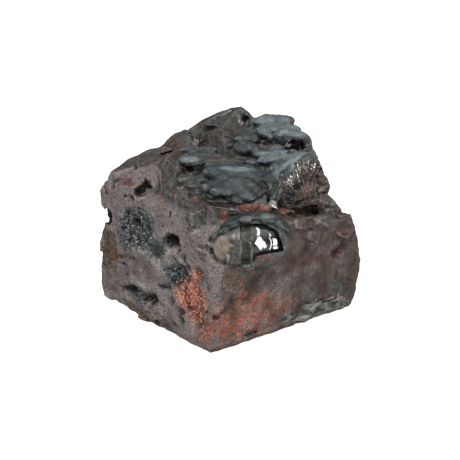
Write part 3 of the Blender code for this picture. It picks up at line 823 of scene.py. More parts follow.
# The fan's fibres and bands: how far their noise is stretched round and outwards, and its detail.
FIBRE_NOISE = ((0.012, 0.9, 1), 4.0)
BAND_NOISE = ((0.3, 0.12, 1), 3.0)
# The dark and light colours of the fan's fibres, of its rib and of the skin round it.
FAN_COLOURS = {
    "fibres": ((0.006, 0.004, 0.003), (0.062, 0.04, 0.029)),
    "rib": ((0.04, 0.023, 0.017), (0.15, 0.088, 0.066)),
    "skin": ((0.022, 0.02, 0.018), (0.058, 0.066, 0.066)),
}
# Single colours that are laid over the finishes.
SPECKLE_DARK = (0.006, 0.005, 0.005)
SCRATCH_DARK = (0.012, 0.009, 0.009)
SPECK_RED = (0.15, 0.045, 0.03)
FLECK_PALE = (0.34, 0.32, 0.31)
BLOTCH_GREY = (0.028, 0.032, 0.032)
# A painted highlight.
GLINT_WHITE = (0.8, 0.82, 0.83)
BAND_BROWN = (0.035, 0.019, 0.014)
# Painted shade in the fan's crevices.
CREVICE_SHADE = (0.005, 0.004, 0.003)
# Painted reflections on the fan's glossy fibres, dark and bright.
PAINTED_SHEEN_DARK = (0.008, 0.008, 0.009)
PAINTED_SHEEN_BRIGHT = (0.42, 0.42, 0.43)
# The tint of the painted shade that darkens the hollows, and the tint that pales the worn ridges.
HOLLOW_SHADE_TINT = (0.12, 0.1, 0.09)
RIDGE_TINT = (0.3, 0.29, 0.28)

# The plain finishes, each with its shader's settings, its dark and light colours, the noise that
# they alternate in, the noise of its roughness, and its bumps. A noise is the spacing of its bumps
# in millimetres, two levels of it, and for the roughness its value at each. Bumps are a noise's spacing,
# detail and harshness, and their depth in millimetres.
PLAIN_LOOKS = {
    "black_core": (
        {"Specular_IOR_Level": 1.0}, (0.004, 0.005, 0.006), (0.014, 0.018, 0.022),
        (3.5, 0.4, 0.65), (2.2, 0.5, 0.8, 0.02, 0.12), ((2.4, 2.0, 0.4), 0.006),
    ),
    "vug_crystals": (
        {"Specular_IOR_Level": 0.9}, (0.005, 0.006, 0.007), (0.075, 0.08, 0.084),
        (1.1, 0.38, 0.62), (0.8, 0.35, 0.65, 0.15, 0.4), None,
    ),
    "steely_blades": (
        {"Metallic": 0.7}, (0.035, 0.032, 0.03), (0.46, 0.44, 0.42),
        (0.8, 0.4, 0.6), (0.8, 0.35, 0.65, 0.15, 0.35), None,
    ),
    "ochre_crumbs": (
        {"Specular_IOR_Level": 0.2}, (0.12, 0.038, 0.027), (0.52, 0.23, 0.16),
        (0.9, 0.38, 0.62), (0.8, 0.35, 0.65, 0.8, 0.95), ((0.3, 3.0, 0.55), 0.1),
    ),
    # Painted highlights.
    "painted_glint_flakes": (
        {"Specular_IOR_Level": 0.8}, (0.6, 0.62, 0.63), (0.92, 0.93, 0.94),
        (0.6, 0.3, 0.7), (0.9, 0.35, 0.65, 0.15, 0.4), None,
    ),
}

# Strewn grains: their shape, the mask they lie in, how many lie on a square millimetre, their
# smallest and largest size, the seed of their draws, and what they lie along, if anything.
GRAINS = {
    "vug_crystals": ("crystal", "druse", 3.5, (0.5, 1.3), 5, ""),
    "ochre_crumbs": ("crumb", "ochre", 3, (0.25, 0.8), 9, ""),
    "fan_blades": ("blade", "gloss_and_sheen", 1.8, (2.6, 4.6), 3, "ray"),
}
# The prisms among them: their sides, their radius at the foot and at the tip, and their length.
PRISMS = {"crystal": (6, 0.5, 0.32, 0.55), "blade": (5, 0.06, 0.03, 1)}
# How rough a crumb is, and how far its corners are apart in the noise that makes it so.
CRUMB_ROUGHNESS = 0.3
CRUMB_STEP = 1.7
TURN = 2 * math.pi

# The light

# Each soft light is its place, what it looks at, its width and height, its power and whether the
# lump mirrors it.
LIGHTS = {
    "overhead": ((-150, -100, 420), (30, 30, 30), (300, 300), 1.2, True),
    "fill": ((-260, -420, 160), (30, 30, 25), (400, 400), 1.3, False),
}

FLOOR_COLOURS = ((0.5, 0.5, 0.5), (0.54, 0.54, 0.54))
FLOOR_SPOTS_MM = 40
FLOOR_GLOW = 0.9
FLOOR_MM = 6000

# The tent grows from dim to bright between two heights of its sky.
TENT_FADE = (0.2, 0.95)
TENT_GLOW = (0.1, 1.7)

# The windows that the core mirrors, each with its corners in the picture. They stand this far off,
# but not lower than this above the floor.
WINDOW_FAR_MM = 500
WINDOW_LOW_MM = 5
WINDOW_GLOW = 14
WINDOW_DIMMEST = 0.9
WINDOW_CLOUD_MM = 300
WINDOWS_PX = {
    "window_top": ((255.4, 227.2), (257.6, 227.4), (259.2, 235.4), (256.4, 235.8)),
    "window_left": ((257.6, 236.6), (260.6, 236.2), (262.4, 248.5), (260.6, 250.5), (255, 243.5)),
    "window_left_pane": ((262.2, 238.4), (263.2, 240.4), (266, 247), (263.6, 248.8), (262.6, 246)),
    "window_right_top": ((272.5, 238.6), (276, 238.2), (276.8, 245.2), (272.8, 245.8)),
    "window_right_low": ((272.8, 246.8), (276.8, 246.2), (276.4, 253.4), (272.8, 254.4)),
    "window_sliver": ((268.6, 237.6), (269.5, 237.6), (269.2, 250), (268.5, 250)),
    "window_spark": ((268.4, 233), (269.4, 233), (271.2, 236.4), (270, 236.8)),
}


# The camera


def direction(heading, tilt):
    """The unit vector with this heading from +X towards +Y and this tilt above the horizon."""
    h, t = math.radians(heading), math.radians(tilt)
    return Vector((math.cos(h) * math.cos(t), math.sin(h) * math.cos(t), math.sin(t)))


TOWARDS_EYE = direction(AZIMUTH_DEG - 90, ELEVATION_DEG)
RIGHTWARDS = direction(AZIMUTH_DEG, 0)
UPWARDS = TOWARDS_EYE.cross(RIGHTWARDS)
FOCAL_PX = LENS_MM / SENSOR_MM * PICTURE_PX
EYE = Vector(AIM) + TOWARDS_EYE * (FOCAL_PX / PX_PER_MM)


def in_frame(place):
    """A place on the lump, in metres in the frame."""
    return (Vector(place) - Vector((*MIDDLE, 0))) * MM


def in_picture(places):
    """Where places on the lump are seen, in pixels from the picture's top left corner."""
    away = places - np.array(EYE)
    depth = -away @ np.array(TOWARDS_EYE)
    across = PICTURE_PX / 2 + FOCAL_PX * (away @ np.array(RIGHTWARDS)) / depth
    down = PICTURE_PX / 2 - FOCAL_PX * (away @ np.array(UPWARDS)) / depth
    return np.stack((across, down), axis=1)


def sight(pixel):
    """The direction from the eye through a pixel."""
    across = (pixel[0] - PICTURE_PX / 2) / FOCAL_PX
    down = (pixel[1] - PICTURE_PX / 2) / FOCAL_PX
    return (RIGHTWARDS * across - UPWARDS * down - TOWARDS_EYE).normalized()


def linked(name, data):
    """A new object in the scene."""
    obj = bpy.data.objects.new(name, data)
    bpy.context.scene.collection.objects.link(obj)
    return obj


def set_camera():
    camera = linked("camera", bpy.data.cameras.new("camera"))
    camera.data.lens = LENS_MM
    camera.data.sensor_width = SENSOR_MM
    camera.data.clip_start = 0.01
    camera.location = in_frame(EYE)
    camera.rotation_mode = "QUATERNION"
    camera.rotation_quaternion = (-TOWARDS_EYE).to_track_quat("-Z", "Y")
    bpy.context.scene.camera = camera


# Shaping


def cleave(bm, point, normal):
    """Breaks away all that lies past a plane and closes the break."""
    geometry = bm.verts[:] + bm.edges[:] + bm.faces[:]
    cut = bmesh.ops.bisect_plane(
        bm, geom=geometry, plane_co=point, plane_no=normal, clear_outer=True
    )
    rim = [e for e in cut["geom_cut"] if isinstance(e, bmesh.types.BMEdge)]
    if rim:
        bmesh.ops.edgeloop_fill(bm, edges=rim)


def cut_seen(bm, start, end):
    """Breaks away what is seen to the left of the way from one pixel to another."""
    cleave(bm, EYE, sight(end).cross(sight(start)))


def break_off(bm, breaks):
    """Cleaves a piece by each break of a table."""
    for point, heading, tilt in breaks.values():
        cleave(bm, Vector(point), direction(heading, tilt))


def shard(breaks, middle, size, chips, seed):
    """A convex piece of rock: a cube cleaved by its breaks, then chipped along its edges."""
    bm = bmesh.new()
    bmesh.ops.create_cube(bm, size=size, matrix=Matrix.Translation(middle))
    break_off(bm, breaks)
    rng = np.random.default_rng(seed)
    for _ in range(chips):
        way = Vector(rng.normal(size=3)).normalized()
        corner = max(bm.verts, key=lambda v: v.co.dot(way))
        depth = rng.uniform(*CHIP_DEPTHS)
        if way.z > LOWEST_CHIP:
            cleave(bm, corner.co - way * depth, way)
    return bm


def lobe_place(middle, half_sizes, heading, lean):
    """Where a round unit ball becomes the lobe."""
    turn = Matrix.Rotation(math.radians(heading), 4, "Z")
    tip = Matrix.Rotation(math.radians(lean), 4, "Y")
    return Matrix.Translation(middle) @ turn @ tip @ Matrix.Diagonal((*half_sizes, 1))


def ball(place, fineness=BALL_FINENESS):
    bm = bmesh.new()
    bmesh.ops.create_icosphere(bm, subdivisions=fineness, radius=1, matrix=place)
    return bm


def lobe(whole, breaks, fineness=BALL_FINENESS):
    """A round lobe, cleaved by its breaks."""
    bm = ball(lobe_place(*whole), fineness)
    break_off(bm, breaks)
    return bm


def joined(name, pieces):
    mesh = bpy.data.meshes.new(name)
    whole = bmesh.new()
    for bm in pieces:
        bm.to_mesh(mesh)
        whole.from_mesh(mesh)
        bm.free()
    whole.to_mesh(mesh)
    whole.free()
    return mesh


def reopened(mesh):
    """The mesh as a piece to join again."""
    bm = bmesh.new()
    bm.from_mesh(mesh)
    return bm


def modified(mesh, kind, **settings):
    """The mesh after one modifier."""
    obj = linked("being_made", mesh)
    modifier = obj.modifiers.new(kind, kind)
    for key, value in settings.items():
        setattr(modifier, key, value)
    graph = bpy.context.evaluated_depsgraph_get()
    made = bpy.data.meshes.new_from_object(obj.evaluated_get(graph))
    bpy.data.objects.remove(obj)
    return made


def smoothed(mesh, rounds):
    return modified(mesh, "SMOOTH", factor=0.5, iterations=rounds)


def fused(mesh, grain):
    """The pieces grown together into one closed skin."""
    return modified(mesh, "REMESH", mode="VOXEL", voxel_size=grain)


def thinned(mesh, triangles):
    return modified(mesh, "DECIMATE", ratio=min(1, triangles / (2 * len(mesh.vertices))))


def spots(mesh):
    found = np.empty(len(mesh.vertices) * 3)
    mesh.vertices.foreach_get("co", found)
    return found.reshape(-1, 3)


def ways_out(mesh):
    found = np.empty(len(mesh.vertices) * 3)
    mesh.vertices.foreach_get("normal", found)
    return found.reshape(-1, 3)


def moved_to(mesh, places):
    mesh.vertices.foreach_set("co", places.ravel())
    mesh.update()


def eased(amount):
    t = np.clip(amount, 0, 1)
    return t * t * (3 - 2 * t)


def inside(reach, rim):
    """1 within a rim, fading to 0 outside it."""
    return eased((rim[0] - reach) / rim[1])


def past(amount, edge):
    """0 before an edge, growing to 1 past it."""
    return eased((amount - edge[0]) / edge[1])


def unevenness(places, spacing, shift):
    return np.array([noise.noise(Vector(p) / spacing + Vector(shift)) for p in places])


def nearest_seed(places, spacing):
    """How far each place is from the nearest of many seeds strewn this far apart, from 0 to 1."""
    return np.array([noise.voronoi(Vector(p) / spacing)[0][0] for p in places])


def waves(places, layers):
    """Unevenness in layers."""
    return sum(height * unevenness(places, spacing, shift) for spacing, height, shift in layers)


def seeds(places, layers):
    """Round swellings in layers."""
    return sum(height * (level - nearest_seed(places, spacing)) for spacing, height, level in layers)


def skin_of(mesh):
    """The mesh as a skin that pixels are cast on."""
    return BVHTree.FromPolygons(
        [v.co for v in mesh.vertices], [p.vertices[:] for p in mesh.polygons]
    )


def seen_spot(skin, pixel):
    """The place on the skin seen at a pixel, or at the nearest one inwards that sees the skin."""
    middle = Vector((PICTURE_PX / 2, PICTURE_PX / 2))
    for share in np.linspace(0, INWARD_SHARE, INWARD_STEPS):
        hit = skin.ray_cast(EYE, sight(Vector(pixel).lerp(middle, share)))[0]
        if hit:
            return hit


def middle_of(corners):
    return sum((Vector(c) for c in corners), Vector((0, 0))) / len(corners)


def cos_sin(degrees):
    return math.cos(math.radians(degrees)), math.sin(math.radians(degrees))


def carve(places):
    """Pushes each hollow's part of the skin inwards, with a wandering rim."""
    wander = waves(places, RIM_WAVES)
    for middle, (half_width, half_height), depth, heading, tilt, roll in HOLLOWS.values():
        out = np.array(direction(heading, tilt))
        level = np.array(direction(heading + 90, 0))
        up = np.cross(out, level)
        c, s = cos_sin(roll)
        away = places - np.array(middle)
        along = (away @ (level * c + up * s)) / half_width
        across = (away @ (up * c - level * s)) / half_height
        near = eased(HOLLOW_REACH - np.abs(away @ out) / (depth + HOLLOW_SLACK_MM))
        reach = np.sqrt(along**2 + across**2) + wander
        places = places - np.outer(depth * near * inside(reach, HOLLOW_RIM), out)
    return places


# Masks


def in_oval(seen, pixel, half_sizes, roll):
    """How far each seen place lies along and across an oval of the picture, with 1 its rim."""
    away = seen - np.array(pixel)
    c, s = cos_sin(roll)
    return (away @ np.array((c, s))) / half_sizes[0], (away @ np.array((-s, c))) / half_sizes[1]


def pixel_mask(seen, ovals):
    """How far each seen place lies inside any of the ovals in the picture, from 0 to 1."""
    most = np.zeros(len(seen))
    for pixel, half_sizes, roll in ovals:
        reach = np.hypot(*in_oval(seen, pixel, half_sizes, roll))
        most = np.maximum(most, inside(reach, OVAL_RIM))
    return most


def stain_masks(mesh, stains):
    """Each finish's mask on the skin, and how far in each place is pushed by the small hollows."""
    places = spots(mesh)
    seen = in_picture(places)
    wander = waves(places, STAIN_WAVES)
    masks = {one[0]: np.zeros(len(places)) for one in stains.values()}
    depths = np.zeros(len(places))
    skin = skin_of(mesh)
    for finish, pixel, half_sizes, roll, depth in stains.values():
        hit = skin.ray_cast(EYE, sight(pixel))[0]
        if hit is None:
            continue
        along, across = in_oval(seen, pixel, half_sizes, roll)
        reach = np.sqrt(along**2 + across**2) + STAIN_WANDER * wander
        far = np.linalg.norm(places - np.array(hit), axis=1)
        here = far < STAIN_REACH * max(half_sizes) / PX_PER_MM + STAIN_SLACK_MM
        mask = inside(reach, STAIN_RIM) * here
        masks[finish] = np.maximum(masks[finish], mask)
        depths = np.maximum(depths, depth * mask)
    return masks, depths


def relief(mesh, rounds):
    """How far each place lies below its surroundings, in millimetres."""
    ends = np.empty(len(mesh.edges) * 2, dtype=np.int64)
    mesh.edges.foreach_get("vertices", ends)
    a, b = ends.reshape(-1, 2).T
    count = np.bincount(np.concatenate((a, b)), minlength=len(mesh.vertices))
    places = spots(mesh)
    smooth = places.copy()
    for _ in range(rounds):
        smooth = np.stack(
            [
                (np.bincount(a, smooth[b, k], len(count)) + np.bincount(b, smooth[a, k], len(count)))
                / count
                for k in range(3)
            ],
            axis=1,
        )
    return ((smooth - places) * ways_out(mesh)).sum(axis=1)


def store(mesh, name, values):
    layer = mesh.attributes.new(name, "FLOAT", "POINT")
    layer.data.foreach_set("value", np.asarray(values, dtype=np.float32))


def store_stains(mesh, stains):
    masks, _ = stain_masks(mesh, stains)
    for finish, mask in masks.items():
        store(mesh, finish, mask)


def store_relief(mesh, rounds, full):
    """The skin's hollows and ridges as masks. They are full at this depth in millimetres."""
    deep = relief(mesh, rounds)
    store(mesh, "hollow", np.clip(deep / full, 0, 1))
    store(mesh, "ridge", np.clip(-deep / full, 0, 1))


# The block


def carrier():
    """The coarse lump that pixels are cast on."""
    pieces = [shard(*one) for one in SHARDS] + [lobe(whole, CRUST_ENDS) for whole in LOBES]
    pieces += [lobe(DOME, {}), lobe(FAN_LOBE, {"fan": FAN_BREAK})]
    mesh = fused(joined("carrier", pieces), CARRIER_GRAIN)
    return skin_of(mesh)


def rock(place, seed):
    """An angular lump: a cube cleaved by random planes, put in its place."""
    rng = np.random.default_rng(seed)
    bm = bmesh.new()
    bmesh.ops.create_cube(bm, size=2)
    for _ in range(ROCK_BREAKS):
        way = Vector(rng.normal(size=3)).normalized()
        cleave(bm, way * rng.uniform(*ROCK_DEPTHS), way)
    bm.transform(place)
    return bm


def rock_place(skin, middle, half_sizes, roll, thick, sink):
    """Where a rock is seen at a pixel with these half sizes, half sunk in the skin."""
    way = sight(middle)
    hit = seen_spot(skin, middle)
    wide, high = (size / PX_PER_MM for size in half_sizes)
    c, s = cos_sin(roll)
    along = RIGHTWARDS * c - UPWARDS * s
    up = UPWARDS * c + RIGHTWARDS * s
    turn = Matrix((along, up.cross(along), up)).transposed().to_4x4()
    size = Matrix.Diagonal((wide, thick, high, 1))
    return Matrix.Translation(hit + way * sink) @ turn @ size


def slab(skin, corners, face, lift, thick):
    """A flat-faced slab whose outline is seen through these pixels, clockwise."""
    middle = middle_of(corners)
    hit = seen_spot(skin, middle)
    out = direction(*face)
    bm = bmesh.new()
    bmesh.ops.create_cube(bm, size=SLAB_ROUGH_MM, matrix=Matrix.Translation(hit))
    front = hit + out * lift
    cleave(bm, front, out)
    cleave(bm, front - out * thick, -out)
    for start, end in zip(corners, (*corners[1:], corners[0])):
        cut_seen(bm, start, end)
    for far, away in SLAB_LIMITS:
        cleave(bm, far, away)
    return bm


def broken_mesh(skin):
    """The block's shards, rocks and slabs grown together, with its hollows."""
    pieces = [shard(*one) for one in SHARDS]
    pieces += [rock(rock_place(skin, *one), seed) for seed, one in enumerate(ROCKS)]
    pieces += [slab(skin, *one) for one in SLABS]
    mesh = fused(joined("block", pieces), BLOCK_GRAIN)
    mesh = thinned(mesh, BLOCK_TRIANGLES)
    moved_to(mesh, carve(spots(mesh)))
    return mesh


def roughened(mesh, away):
    """Makes the broken skin uneven, pushes in its small hollows and gives its new places."""
    places = spots(mesh)
    chipped = sum(share * nearest_seed(places, spacing) for spacing, share in CHIPS)
    rise = -CHIPPED_MM * away * chipped
    for spacing, height in BUMPS:
        rise += height * unevenness(places, spacing, (spacing, 3, 1))
    rise *= 1 - CALM_SHARE * past(places[:, 2], CALM_HEIGHT)
    moved_to(mesh, places + ways_out(mesh) * rise[:, None])
    _, depths = stain_masks(mesh, STAINS)
    places = spots(mesh) - ways_out(mesh) * depths[:, None]
    places[:, 2] = np.maximum(places[:, 2], 0)
    moved_to(mesh, places)
    return places


def block_finishes(mesh, places, away):
    """Each finish's mask on the block, with patches where it faces away from the camera."""
    masks, _ = stain_masks(mesh, STAINS)
    for name in UNSEEN_VUGS:
        middle, half_sizes, *_ = HOLLOWS[name]
        far = np.linalg.norm(places - np.array(middle), axis=1) / max(half_sizes)
        far = far + waves(places, UNSEEN_VUG_WAVES)
        masks["druse"] = np.maximum(masks["druse"], inside(far, UNSEEN_VUG_RIM))
    for finish, spacing, start, edge in UNSEEN_PATCHES:
        patch = past(unevenness(places, spacing, start), edge)
        masks[finish] = np.maximum(masks[finish], away * patch)
    masks["druse"] *= 1 - masks["black"]
    masks["ochre"] *= 1 - masks["blood"]
    return masks


def store_faces(mesh, places, away):
    """Where the block has the mauve of its left face and the brown of its top."""
    out = ways_out(mesh)
    facing = out @ np.array(direction(*MAUVE_FACING))
    mauve = past(facing, MAUVE_EDGE)
    patch = past(unevenness(places, *MAUVE_PATCHES), MAUVE_PATCH_EDGE)
    shoulder = pixel_mask(in_picture(places), SHOULDER_PX)
    mauve = np.maximum(mauve, shoulder)
    store(mesh, "mauve", np.maximum(mauve, UNSEEN_MAUVE * away * patch))
    top = past(places[:, 2], TOP_HEIGHT) * past(out[:, 2], TOP_SLANT)
    store(mesh, "top", top * (1 - SHOULDER_SHARE * shoulder))


def block_mesh(skin):
    """The broken ore under the crust."""
    mesh = broken_mesh(skin)
    away = eased(-(ways_out(mesh) @ np.array(TOWARDS_EYE)) / AWAY_FADE)
    places = roughened(mesh, away)
    for finish, mask in block_finishes(mesh, places, away).items():
        store(mesh, finish, mask)
    store_faces(mesh, places, away)
    store_relief(mesh, *BLOCK_RELIEF)
    return mesh


# The crust and its glint flakes


def seated(skin, middle, half_sizes, roll, rise=PILLOW_RISE, sink=PILLOW_SINK_MM):
    """Where a round unit ball becomes a pillow on the skin, seen at a pixel with these sizes."""
    way = sight(middle)
    hit = seen_spot(skin, middle)
    wide, high = (PILLOW_SPREAD * size / PX_PER_MM for size in half_sizes)
    tall = rise * high / math.cos(math.radians(ELEVATION_DEG))
    deep = math.sqrt(1 - rise**2) * high / math.sin(math.radians(ELEVATION_DEG))
    c, s = cos_sin(roll)
    along = RIGHTWARDS * c - UPWARDS * s
    up = Vector((0, 0, 1))
    up = (up - along * up.dot(along)).normalized()
    turn = Matrix((along, up.cross(along), up)).transposed().to_4x4()
    size = Matrix.Diagonal((wide, max(deep, PILLOW_DEPTH * wide), tall, 1))
    return Matrix.Translation(hit + way * sink) @ turn @ size


def crust_mesh(skin):
    """The botryoidal crust: a low swell of lobes under overlapping pillows."""
    swell = fused(joined("swell", [lobe(whole, CRUST_ENDS) for whole in LOBES]), CARRIER_GRAIN)
    swell = smoothed(swell, SWELL_ROUNDS)
    places_on = [seated(skin, *one) for one in PILLOWS if one[1][1] >= BIG_PILLOW_PX]
    pieces = [reopened(swell), *map(ball, places_on)]
    under = skin_of(fused(joined("under_pillows", pieces), CARRIER_GRAIN / 2))
    places_on += [
        seated(under, *one, sink=SMALL_SINK_MM) for one in PILLOWS if one[1][1] < BIG_PILLOW_PX
    ]
    pieces = [reopened(swell), *map(ball, places_on)]
    mesh = fused(joined("crust", pieces), CRUST_GRAIN)
    mesh = smoothed(mesh, CRUST_ROUNDS)
    mesh = thinned(mesh, CRUST_TRIANGLES)
    places = spots(mesh)
    nearest = np.full(len(places), FAR_OFF)
    for place in places_on:
        back = np.array(place.inverted())
        nearest = np.minimum(
            nearest, np.linalg.norm(places @ back[:3, :3].T + back[:3, 3], axis=1)
        )
    valley = past(nearest, VALLEY_EDGE)
    level = (places[:, 2] + waves(places, LEDGE_WAVES)) / LEDGE_MM
    ledges = (level % 1) ** 2 - LEDGE_LEVEL
    rise = seeds(places, CRUST_SEEDS)
    rise += waves(places, CRUST_WAVES)
    rise += LEDGE_DEPTH_MM * (PILLOW_LEDGES + (1 - PILLOW_LEDGES) * valley) * ledges
    moved_to(mesh, places + ways_out(mesh) * rise[:, None])
    _, depths = stain_masks(mesh, CRUST_STAINS)
    moved_to(mesh, spots(mesh) - ways_out(mesh) * depths[:, None])
    store_stains(mesh, CRUST_STAINS)
    store(mesh, "valley", valley)
    # The painted sheen's ovals.
    store(mesh, "painted_sheen", pixel_mask(in_picture(places), SHEEN_PX))
    store_relief(mesh, *CRUST_RELIEF)
    return mesh


def flakes(crust):
    """Small bright flakes of painted glint on the crust, each standing a little out of it."""
    skin = skin_of(crust)
    out = (TOWARDS_EYE + Vector((0, 0, FLAKE_UPWARDS))).normalized()
    bm = bmesh.new()
    for corners in GLINT_FLAKES_PX:
        middle = middle_of(corners)
        hit = skin.ray_cast(EYE, sight(middle))[0] + TOWARDS_EYE * FLAKE_LIFT_MM
        front = []
        for pixel in corners:
            way = sight(pixel)
            front.append(EYE + way * ((hit - EYE).dot(out) / way.dot(out)))
        rim = [bm.verts.new(p) for p in front]
        back = [bm.verts.new(p - TOWARDS_EYE * FLAKE_THICK_MM) for p in front]
        bm.faces.new(rim)
        bm.faces.new(back[::-1])
        for i in range(len(rim)):
            j = (i + 1) % len(rim)
            bm.faces.new((rim[j], rim[i], back[i], back[j]))
    bmesh.ops.recalc_face_normals(bm, faces=bm.faces[:])
    mesh = joined("flakes", [bm])
    mesh.set_sharp_from_angle(angle=math.radians(SHARP_DEG))
    return mesh


# The split botryoids


def dome_part(scale, cuts=()):
    """The front botryoid grown or shrunk by a scale, cut along lines between pixels."""
    middle, half_sizes, heading, lean = DOME
    sizes = tuple(size * share for size, share in zip(half_sizes, scale))
    bm = lobe((middle, sizes, heading, lean), {}, SPLIT_FINENESS)
    for start, end in cuts:
        cut_seen(bm, start, end)
    return bm


def under_arch(scale, rim, cuts=()):
    """The part of the grown botryoid that lies outside an arch through pixels."""
    return [dome_part(scale, [(end, start), *cuts]) for start, end in zip(rim, rim[1:])]


def dome_body_mesh(skin):
    """The split left half with its flat facet, and the recess's back wall."""
    split = dome_part(WHOLE, [FACET_EDGE_PX])
    break_off(split, {"facet": DOME_FACET})
    lumps = [ball(seated(skin, *one, sink=LUMP_SINK_MM)) for one in DOME_LUMPS]
    mesh = fused(joined("dome_body", [split, dome_part(RECESS_SCALE), *lumps]), DOME_GRAIN)
    places = spots(mesh)
    rise = waves(places, FACET_WAVES)
    moved_to(mesh, places + ways_out(mesh) * rise[:, None])
    store_stains(mesh, DOME_STAINS)
    store_relief(mesh, *DOME_RELIEF)
    return mesh


def dome_core_mesh():
    """The black core, cut off at the recess."""
    mesh = joined("dome_core", [dome_part(CORE_SCALE, [RECESS_EDGE_PX])])
    mesh.set_sharp_from_angle(angle=math.radians(SHARP_DEG))
    return mesh


def shell_pieces():
    """The two outer skins and the lip, before they grow together."""
    pieces = under_arch(INNER_SCALE, INNER_RIM_PX, [INNER_FOOT_PX])
    pieces += under_arch(OUTER_SCALE, OUTER_RIM_PX)
    return [*pieces, dome_part(INNER_SCALE, [LIP_PX, LIP_END_PX])]


def shell_mesh(skin):
    """The botryoid's two outer skins, broken back along arched rims, and the lip under the core."""
    pieces = [*shell_pieces(), dome_part(WHOLE)]
    under = skin_of(fused(joined("under_crest", pieces), CARRIER_GRAIN / 2))
    crest = [ball(seated(under, *one, sink=CREST_SINK_MM)) for one in CREST_PX]
    crest += [ball(seated(skin, *one, sink=RIM_SINK_MM)) for one in LEFT_RIM_PX]
    mesh = fused(joined("dome_shells", [*shell_pieces(), *crest]), DOME_GRAIN)
    mesh = smoothed(mesh, SHELL_ROUNDS)
    mesh = thinned(mesh, SHELL_TRIANGLES)
    places = spots(mesh)
    rise = waves(places, SHELL_WAVES)
    rise += seeds(places, SHELL_SEEDS)
    moved_to(mesh, places + ways_out(mesh) * rise[:, None])
    store_stains(mesh, SHELL_STAINS)
    store_relief(mesh, *DOME_RELIEF)
    store(mesh, "valley", np.zeros(len(places)))
    # The painted sheen along the rims.
    store(mesh, "painted_sheen", RIM_SHEEN * pixel_mask(in_picture(places), RIM_SHEEN_PX))
    return mesh


def fan_face():
    """The fan's break: its outward, level and upward directions, and the fibres' root on it."""
    point, heading, tilt = FAN_BREAK
    out = np.array(direction(heading, tilt))
    level = np.array(direction(heading + 90, 0))
    up = np.cross(out, level)
    ray = np.array(sight(FAN_ROOT_PX))
    root = np.array(EYE) + ray * (((np.array(point) - np.array(EYE)) @ out) / (ray @ out))
    return out, level, up, root


def store_rays(mesh, round_it, far, lie):
    """Each place's angle and distance from the root as a map, and the way that its fibre lies."""
    uv = mesh.uv_layers.new(name="rays")
    corners = np.empty(len(mesh.loops), dtype=np.int64)
    mesh.loops.foreach_get("vertex_index", corners)
    uv.data.foreach_set("uv", np.stack((round_it[corners], far[corners]), axis=1).ravel())
    lie /= np.linalg.norm(lie, axis=1)[:, None] + 1e-9
    layer = mesh.attributes.new("ray", "FLOAT_VECTOR", "POINT")
    layer.data.foreach_set("vector", lie.astype(np.float32).ravel())


def fan_mesh():
    """Half a botryoid whose broken face shows its fibres."""
    bm = lobe(FAN_LOBE, {"fan": FAN_BREAK}, SPLIT_FINENESS)
    for start, end in FAN_SIDES_PX:
        cut_seen(bm, start, end)
    mesh = fused(joined("fan", [bm]), FAN_GRAIN)
    out, level, up, root = fan_face()
    places = spots(mesh)
    along, rise = (places - root) @ level, (places - root) @ up
    angle, far = np.arctan2(rise, along), np.hypot(along, rise)
    on_face = past(ways_out(mesh) @ out, FAN_FACE_EDGE)
    bend = waves(places, FAN_BEND)
    leaves = np.array(
        [
            sum(
                height * noise.noise(Vector((round_it * a, outwards * f, start)))
                for round_it, outwards, start, height in LEAVES
            )
            for a, f in zip(angle + bend, far)
        ]
    )
    lift = LEAF_HEIGHT_MM * leaves + waves(places, FAN_WAVES)
    lumps = seeds(places, FAN_SKIN_SEEDS) + waves(places, FAN_SKIN_WAVES)
    skin_rise = ways_out(mesh) * ((1 - on_face) * lumps)[:, None]
    moved_to(mesh, places + np.outer(on_face * lift, out) + skin_rise)
    lie = np.outer(along, level) + np.outer(rise, up) + np.outer(BLADE_LEAN * far, out)
    store_rays(mesh, angle + bend, far, lie)
    store(mesh, "gloss_and_sheen", on_face * pixel_mask(in_picture(places), FAN_GLOSS_AND_SHEEN_PX))
    store(mesh, "face", on_face)
    _, depths = stain_masks(mesh, FAN_STAINS)
    moved_to(mesh, spots(mesh) - np.outer(depths, out))
    store_stains(mesh, FAN_STAINS)
    store_relief(mesh, *FAN_RELIEF)
    return mesh


# Materials

MIX_A, MIX_B, MIX_OUT = 6, 7, 2


def set_inputs(tree, node, inputs):
    """Sets each of a node's inputs to a value, or links it to another node's output."""
    for key, value in inputs.items():
        if isinstance(value, bpy.types.NodeSocket):
            tree.links.new(value, node.inputs[key])
        else:
            node.inputs[key].default_value = value


def add(tree, kind, inputs=None, **settings):
    """A new node with its settings, and its inputs set or linked."""
    made = tree.nodes.new(kind)
    for key, value in settings.items():
        setattr(made, key, value)
    set_inputs(tree, made, inputs or {})
    return made


def blend(tree, mask, under, over, way="MIX"):
    """One colour laid over another where the mask says."""
    colours = [c if isinstance(c, bpy.types.NodeSocket) else (*c, 1) for c in (under, over)]
    inputs = {0: mask, MIX_A: colours[0], MIX_B: colours[1]}
    return add(tree, "ShaderNodeMix", inputs, data_type="RGBA", blend_type=way).outputs[MIX_OUT]


def sum_of(tree, *parts, way="ADD"):
    inputs = dict(enumerate(parts))
    return add(tree, "ShaderNodeMath", inputs, operation=way).outputs[0]


def spread(tree, value, low, high, least=0, most=1):
    """The value's run from low to high, eased to run from least to most."""
    inputs = {
        "Value": value, "From Min": low, "From Max": high, "To Min": least, "To Max": most
    }
    made = add(tree, "ShaderNodeMapRange", inputs, interpolation_type="SMOOTHSTEP")
    return made.outputs["Result"]


def grain(tree, where, spacing, detail=3.0, harshness=0.55):
    """Soft noise whose bumps are this far apart in millimetres."""
    inputs = {
        "Vector": where, "Scale": 1 / (spacing * MM), "Detail": detail, "Roughness": harshness
    }
    return add(tree, "ShaderNodeTexNoise", inputs).outputs["Fac"]


